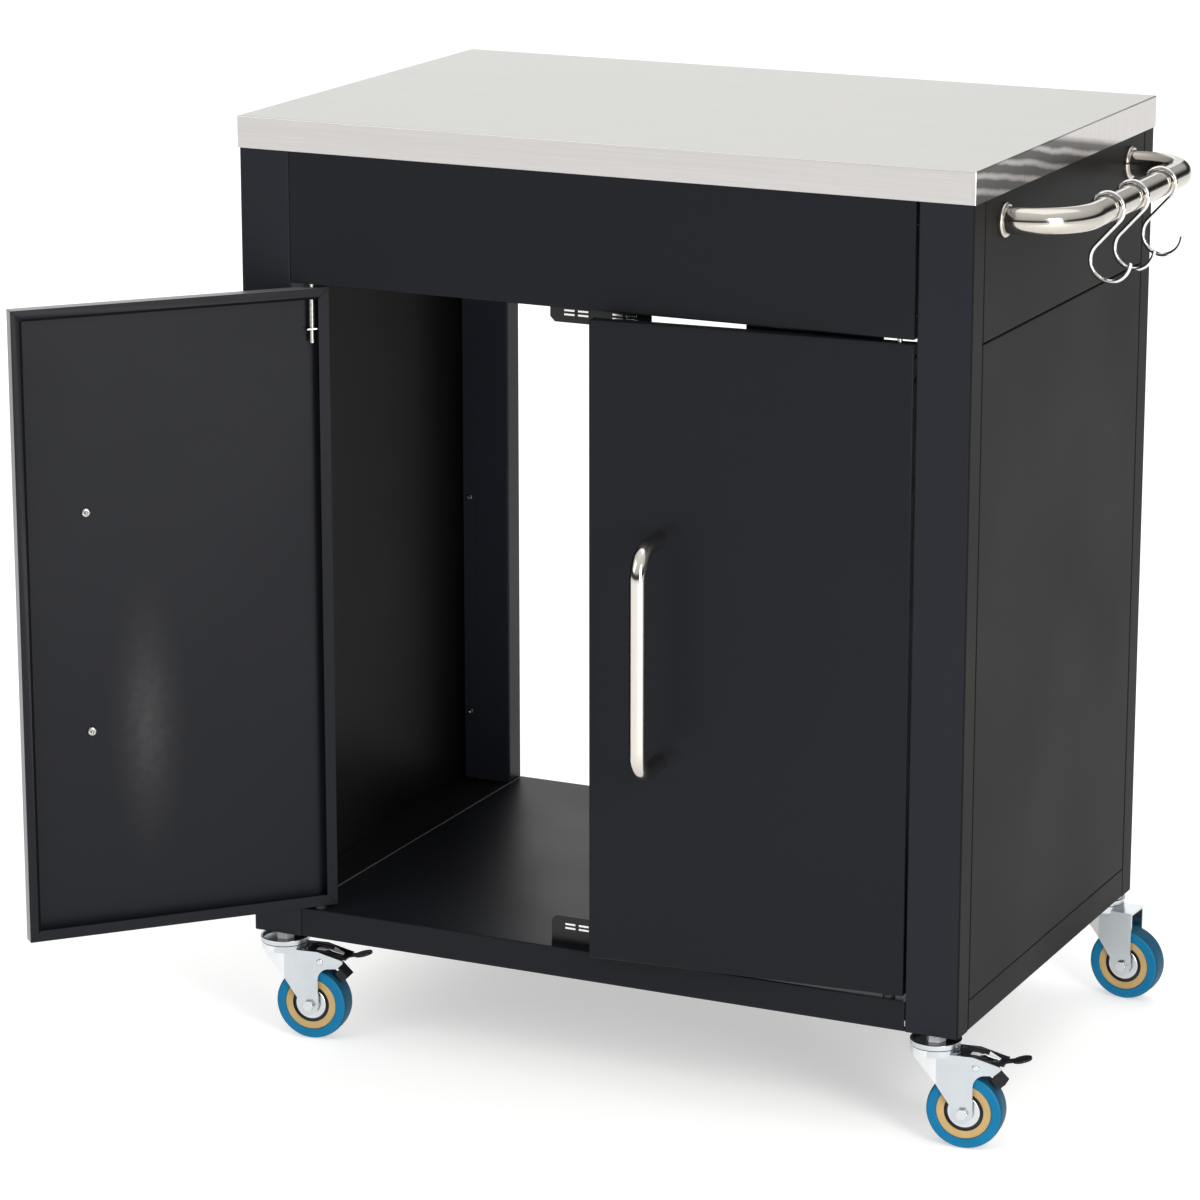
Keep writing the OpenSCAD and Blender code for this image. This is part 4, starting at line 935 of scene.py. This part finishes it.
def makeHandleScrews(side):
    spots = [((handleX, -halfD + cabinet["sheet"], handleZ + way * handle["pitch"] / 2),
              (0, -1, 0)) for way in (-1, 1)]
    whole = screwSet(spots, handleScrew)
    piece = addDoorPiece(side, ".handle.screws", whole, (screwSteel, threadShadeSteel),
                         "_handle_screws")
    addModifiers(piece)


for sideName, onRight in sides:
    makeDoor(sideName, onRight)
    makeBeads(sideName)
    makeHandle(sideName)
    makeHandleScrews(sideName)
    # the right door's bracket is zinc in painted shade
    roundedCopy(sideName + "_spring_bracket", sideName + "_door",
                (zincShade if onRight else zinc,), 0.25)
    roundedCopy(sideName + "_hinge_pin", sideName + "_pin", (screwSteel,), 0.2)
print("doors made")


# Hinge springs, wound as the part's source winds them
spring = {"wire": 0.9, "diameter": 6.3, "turns": 15, "length": 38, "seat": 0.1, "top": 773.7,
          "travel": 12, "perTurn": 24, "sides": 10}


def makeSpring(side):
    rise = spring["length"] - 2 * spring["wire"] - 2 * spring["seat"]
    radius = spring["diameter"] / 2
    steps = spring["turns"] * spring["perTurn"]
    x, y = door["pin"]
    z = spring["top"] - spring["length"]
    path = [(x + radius, y, z + spring["seat"])]
    for k in range(steps + 1):
        a = 2 * math.pi * k / spring["perTurn"]
        path.append((x + radius * math.cos(a), y + radius * math.sin(a),
                     z + spring["seat"] + spring["wire"] + rise * k / steps))
    path.append((path[-1][0], path[-1][1], z + spring["length"] - spring["seat"]))
    bm = sweptTube(path, spring["wire"] / 2, spring["sides"])
    piece = addDoorPiece(side, ".spring.wire", bm, (springSteel,), "_hinge_spring")
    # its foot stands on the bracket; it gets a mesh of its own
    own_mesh(piece)


makeSpring("left")
makeSpring("right")
print("springs made")


# Handlebar with its flange rings
bar = {"radius": 12.7, "pitch": 350, "reach": 67, "bend": 56, "drop": 56, "sides": 56,
       "steps": 20, "flangeRadius": 16.5, "flangeThick": 4.5}
barZ = cabinet["top"] - bar["drop"]


def makeBar():
    path = [(halfW + out, along, barZ) for out, along in tubePath(bar)]
    bm = sweptTube(path, bar["radius"], bar["sides"])
    piece = addPiece("handlebar.tube", bm, "cart", (steelBar,), ("handlebar",))
    addModifiers(piece, 0, 0.3)


def makeFlanges():
    whole = bmesh.new()
    r, t, inner = bar["flangeRadius"], bar["flangeThick"], bar["radius"] + 0.1
    profile = [(inner, 0.0), (r, 0.0), (r, t - 1.6), (r - 0.3, t - 0.8), (r - 1.0, t - 0.2),
               (r - 1.8, t), (inner, t)]
    outward = Matrix.Rotation(math.pi / 2, 4, "Y")
    for way in (-1, 1):
        bm = lathe(profile)
        addShape(whole, bm, Matrix.Translation((halfW, way * bar["pitch"] / 2, barZ)) @ outward)
        bm.free()
    piece = addPiece("handlebar.rings", whole, "cart", (steelBar,), ("handlebar_flanges",))
    addModifiers(piece, 0, 0.25)


makeBar()
makeFlanges()
roundedCopy("handlebar_bolts", "cart", (zinc,))
print("handlebar made")


# Hooks of round wire over the bar
hook = {
    "wire": 2, "upRadius": 15.6, "lowRadius": 19.7, "upAt": (0, -0.6), "lowAt": (3.5, -49),
    "upTip": 158, "lowTip": 356, "upSteps": 30, "lowSteps": 34, "sides": 20, "tip": 0.9,
    "along": {"hook_front": -78, "hook_middle": -9, "hook_rear": 73},
}


def makeHook(name, y):
    up, low = Vector(hook["upAt"]), Vector(hook["lowAt"])
    across = low - up
    line = math.degrees(math.atan2(across.y, across.x))
    turn = math.degrees(math.acos((hook["upRadius"] + hook["lowRadius"]) / across.length))
    x = halfW + bar["reach"]
    upper = arcPoints((x + up.x, barZ + up.y), hook["upRadius"], hook["upTip"], line + turn,
                      hook["upSteps"])
    lower = arcPoints((x + low.x, barZ + low.y), hook["lowRadius"], line + turn + 180,
                      hook["lowTip"], hook["lowSteps"])
    path = [insertAxis(pair, "Y", y) for pair in upper + lower]
    bm = sweptTube(path, hook["wire"], hook["sides"], hook["tip"])
    addPiece(name + ".wire", bm, name, (steelHook,), (name,))


for hookName, hookY in hook["along"].items():
    makeHook(hookName, hookY)
print("hooks made")


def makePanelScrews():
    # the screws all over the cabinet
    spots = []
    for sx in (-1, 1):
        for sy in (-1, 1):
            for z in screw["sideZ"]:
                spots.append(((sx * screw["sideX"], sy * screw["sideY"], z), (0, sy, 0)))
            gap = fascia["gapRight"] if (sx, sy) == (1, -1) else fascia["gapLeft"]
            x = innerX - gap - cabinet["sheet"]
            for z in screw["upperZ"]:
                spots.append(((sx * x, sy * screw["upperY"], z), (sx, 0, 0)))
            spots.append(((sx * screw["shelfX"], sy * screw["shelfY"], screw["shelfZ"]),
                          (sx, 0, 0)))
        spots.append(((sx * screw["catchX"], *screw["catchTop"]), (0, -1, 0)))
        spots.append(((sx * screw["catchX"], *screw["catchLow"]), (0, 0, -1)))
    piece = addPiece("panel.screws", screwSet(spots, screw), "cart", (screwSteel, threadShadeSteel),
                     ("panel_screws",))
    addModifiers(piece)


makePanelScrews()

# Fixed small parts of the cabinet
roundedCopy("catch_brackets", "cart", (paintTrim,))
roundedCopy("catch_magnets", "cart", (poleSteel,), 0.2)
roundedCopy("lower_hinge_pins", "cart", (screwSteel,))
roundedCopy("hinge_washers", "cart", (washerBlack,))
print("small parts made")


# Casters
caster = {
    "postX": 353, "postY": 235.75, "trail": 31, "wheelRadius": 37.5, "wheelWidth": 24,
    "coreRadius": 27, "recessRadius": 19.2, "recessDepth": 3.5, "treadEdge": 1.2,
    "turned": {"front_left": 8, "front_right": 7, "rear_left": 4, "rear_right": -3},
    # how far a fork's face looks ahead where it is an edge folded in: cosines
    "foldFrom": -0.95, "foldTo": -0.12, "foldTilt": 0.5,
    "dishUp": 0.6,     # the faces of a race that look up
}
cornerSigns = {"front_left": (-1, -1), "front_right": (1, -1),
               "rear_left": (-1, 1), "rear_right": (1, 1)}


def casterPlace(corner):
    sx, sy = cornerSigns[corner]
    turn = Matrix.Rotation(math.radians(caster["turned"][corner]), 4, "Z")
    return Matrix.Translation((sx * caster["postX"], sy * caster["postY"], 0)) @ turn


def axlePlace(corner):
    # Z lies along the axle
    return (casterPlace(corner) @ Matrix.Translation((caster["trail"], 0, caster["wheelRadius"]))
            @ Matrix.Rotation(math.pi / 2, 4, "X"))


def wheelShape(half, steps, isOther):
    # turns half a profile and its mirror image; isOther says which radii get the second finish
    bm = lathe(half + [(a, -b) for a, b in reversed(half)], steps)
    for face in bm.faces:
        spot = face.calc_center_median()
        face.material_index = 1 if isOther(math.hypot(spot.x, spot.y)) else 0
    return bm


def makeTyre(corner):
    r, h, c = caster["wheelRadius"], caster["wheelWidth"] / 2, caster["coreRadius"]
    half = [(c, h), (c + 0.6, h), (r - 3.4, h - 0.05), (r - 2.3, h - 0.35), (r - 1.3, h - 1.1),
            (r - 0.6, h - 2.3), (r - 0.2, h - 4.2), (r, h - 7.0), (r, h - 10.0)]
    bm = wheelShape(half, 128, lambda radius: radius > r - caster["treadEdge"])
    piece = addPiece(corner + ".tyre.ring", bm, corner + "_wheel", (tyreSide, tyreTread),
                     (corner + "_tyre",), axlePlace(corner))
    addModifiers(piece)


def makeCore(corner):
    h = caster["wheelWidth"] / 2 - 0.5
    low = h - caster["recessDepth"]
    r, c = caster["recessRadius"], caster["coreRadius"] - 0.05
    half = [(5.1, low), (r - 0.3, low), (r, low + 0.4), (r + 0.1, h - 0.5), (r + 0.5, h),
            (c - 0.5, h), (c, h - 0.4)]
    # the recess takes the second finish, painted shade
    bm = wheelShape(half, 96, lambda radius: radius < r + 0.06)
    piece = addPiece(corner + ".core.disc", bm, corner + "_wheel", (coreTan, coreDark),
                     (corner + "_core",), axlePlace(corner))
    addModifiers(piece)


clip = {
    "from": 26.5, "level": 94, "slope": 6,      # the pedal's plate
    # each part: distance along the plate, half width, height of the middle and of the sides
    "tab": ((8.5, 3.2, 0.4, 0.4), (13, 3.2, 1.3, 1.1), (17.5, 3.0, 0.9, 0.8)),
    "bridge": ((17, 1.3, 0.8, 0.8), (21.5, 1.3, 2.2, 2.2), (26, 1.3, 1.4, 1.4)),
    "wing": ((25, 6.2, 1.2, 3.6), (31, 4.2, 0.8, 2.0), (37, 2.0, 0.4, 0.5)),
    "sheet": 0.7, "cutRound": 0.15,
}


def makeClip(corner):
    # the bright leaf that holds the pedal up or down
    bm = bmesh.new()
    for part in ("tab", "bridge", "wing"):
        rows = [[bm.verts.new((x, y, z)) for y, z in ((-half, side), (0, middle), (half, side))]
                for x, half, middle, side in clip[part]]
        for low, high in zip(rows, rows[1:]):
            for k in (0, 1):
                bm.faces.new((low[k], high[k], high[k + 1], low[k + 1]))
    bm.normal_update()
    for face in bm.faces:
        if face.normal.z < 0:
            face.normal_flip()
    place = (casterPlace(corner) @ Matrix.Translation((clip["from"], 0, clip["level"]))
             @ Matrix.Rotation(math.radians(clip["slope"]), 4, "Y"))
    piece = addPiece(corner + ".pedal.clip", bm, corner + "_brake", (zincClip,), (),
                     place)
    addModifiers(piece, clip["sheet"], clip["cutRound"])


def makeFork(corner):
    # painted highlight: the edges folded in are brighter than the plates
    fork = roundedCopy(corner + "_fork", corner + "_swivel", (zinc, zincWingHighlight), 0.5)
    ahead = casterPlace(corner).to_3x3() @ Vector((1, 0, 0))
    for face in fork.data.polygons:
        folded = caster["foldFrom"] < face.normal.dot(ahead) < caster["foldTo"]
        if folded and abs(face.normal.z) < caster["foldTilt"]:
            face.material_index = 1


def makeRaces():
    races = roundedCopy("caster_races", "cart", (zinc, zincShade))
    # painted shade: the faces that look up are darker, standing in for the dark underside that they
    # reflect
    for face in races.data.polygons:
        if face.normal.z > caster["dishUp"]:
            face.material_index = 1
    # the balls keep their CAD shape
    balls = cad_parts["swivel_balls"]
    balls.data.materials.clear()
    balls.data.materials.append(screwSteel)


for cornerName in cornerSigns:
    makeTyre(cornerName)
    makeCore(cornerName)
    makeFork(cornerName)
    roundedCopy(cornerName + "_axle", cornerName + "_swivel", (zincCap,), 0.25)
    if cornerName.startswith("front"):
        roundedCopy(cornerName + "_pedal", cornerName + "_brake", (paintTrim,))
        roundedCopy(cornerName + "_shoe", cornerName + "_brake", (shoeRubber,), 0.2)
        makeClip(cornerName)
roundedCopy("caster_stems", "cart", (zincClip,))
makeRaces()
print("casters made")


# Floor, lights and camera
floorLook = {"size": 40, "colour": (0.72, 0.72, 0.715), "rough": 0.80, "glow": 0.66}
# sine of height, brightness
sky = ((0.0, 0.30), (0.03, 0.03), (0.20, 0.03), (0.32, 0.60), (0.60, 0.80), (1.0, 1.05))
warmWhite, white = (1.0, 0.99, 0.98), (1, 1, 1)
lamps = {     # place, target, size, watts, colour
    "strip right": ((2.6, -1.9, 1.3), (-0.2, -0.3, 0.6), (0.9, 2.4), 70, warmWhite),
    "key left": ((-2.6, -3.2, 3.0), (0, 0, 0.5), (2.4, 2.4), 30, warmWhite),
    "overhead": ((0.2, 0.6, 3.6), (0, 0, 0.9), (3.0, 2.4), 15, white),
    "behind left": ((-3.0, 5.0, 2.4), (0, 0, 0.9), (5.0, 3.0), 46, white),
}
view = {"sensor": 36, "lens": 139.093, "far": 60, "spot": (1.8393, -4.1250, 1.6367),
        "tilt": 75.137, "turn": 25.3126}


def makeFloor():
    bm = bmesh.new()
    bmesh.ops.create_grid(bm, x_segments=8, y_segments=8, size=floorLook["size"] / 2)
    mesh = bpy.data.meshes.new("floor")
    bm.to_mesh(mesh)
    bm.free()
    floor = bpy.data.objects.new("floor", mesh)
    scene.collection.objects.link(floor)
    material, *_, shader = newMaterial("pale floor")
    colour = (*floorLook["colour"], 1)
    setInputs(shader, {"Base Color": colour, "Roughness": floorLook["rough"],
                       "Emission Color": colour, "Emission Strength": floorLook["glow"]})
    mesh.materials.append(material)


def addSoftbox(name, spot, target, size, power, colour):
    light = bpy.data.lights.new(name, "AREA")
    light.shape = "RECTANGLE"
    light.size, light.size_y = size
    light.energy = power
    light.color = colour
    lamp = bpy.data.objects.new(name, light)
    lamp.location = spot
    lamp.rotation_euler = (Vector(target) - Vector(spot)).to_track_quat("-Z", "Y").to_euler()
    scene.collection.objects.link(lamp)


def makeWorld():
    # a studio that is dark round the horizon and bright above
    world = bpy.data.worlds.new("studio")
    world.use_nodes = True
    nodes, links = world.node_tree.nodes, world.node_tree.links
    coords = nodes.new("ShaderNodeTexCoord")
    split = nodes.new("ShaderNodeSeparateXYZ")
    ramp = nodes.new("ShaderNodeValToRGB")
    while len(ramp.color_ramp.elements) < len(sky):
        ramp.color_ramp.elements.new(0.5)
    for k, (height, shade) in enumerate(sky):
        ramp.color_ramp.elements[k].position = height
        ramp.color_ramp.elements[k].color = (shade, shade, shade, 1)
    links.new(coords.outputs["Generated"], split.inputs["Vector"])
    links.new(split.outputs["Z"], ramp.inputs["Fac"])
    links.new(ramp.outputs["Color"], nodes["Background"].inputs["Color"])
    scene.world = world


def makeCamera():
    data = bpy.data.cameras.new("camera")
    data.sensor_width = view["sensor"]
    data.lens = view["lens"]
    data.clip_end = view["far"]
    camera = bpy.data.objects.new("camera", data)
    camera.location = view["spot"]
    camera.rotation_euler = (math.radians(view["tilt"]), 0, math.radians(view["turn"]))
    scene.collection.objects.link(camera)
    scene.camera = camera


makeFloor()
for lampName, lampSettings in lamps.items():
    addSoftbox(lampName, *lampSettings)
makeWorld()
makeCamera()
scene.view_settings.view_transform = "Standard"
print("floor, lights and camera set")
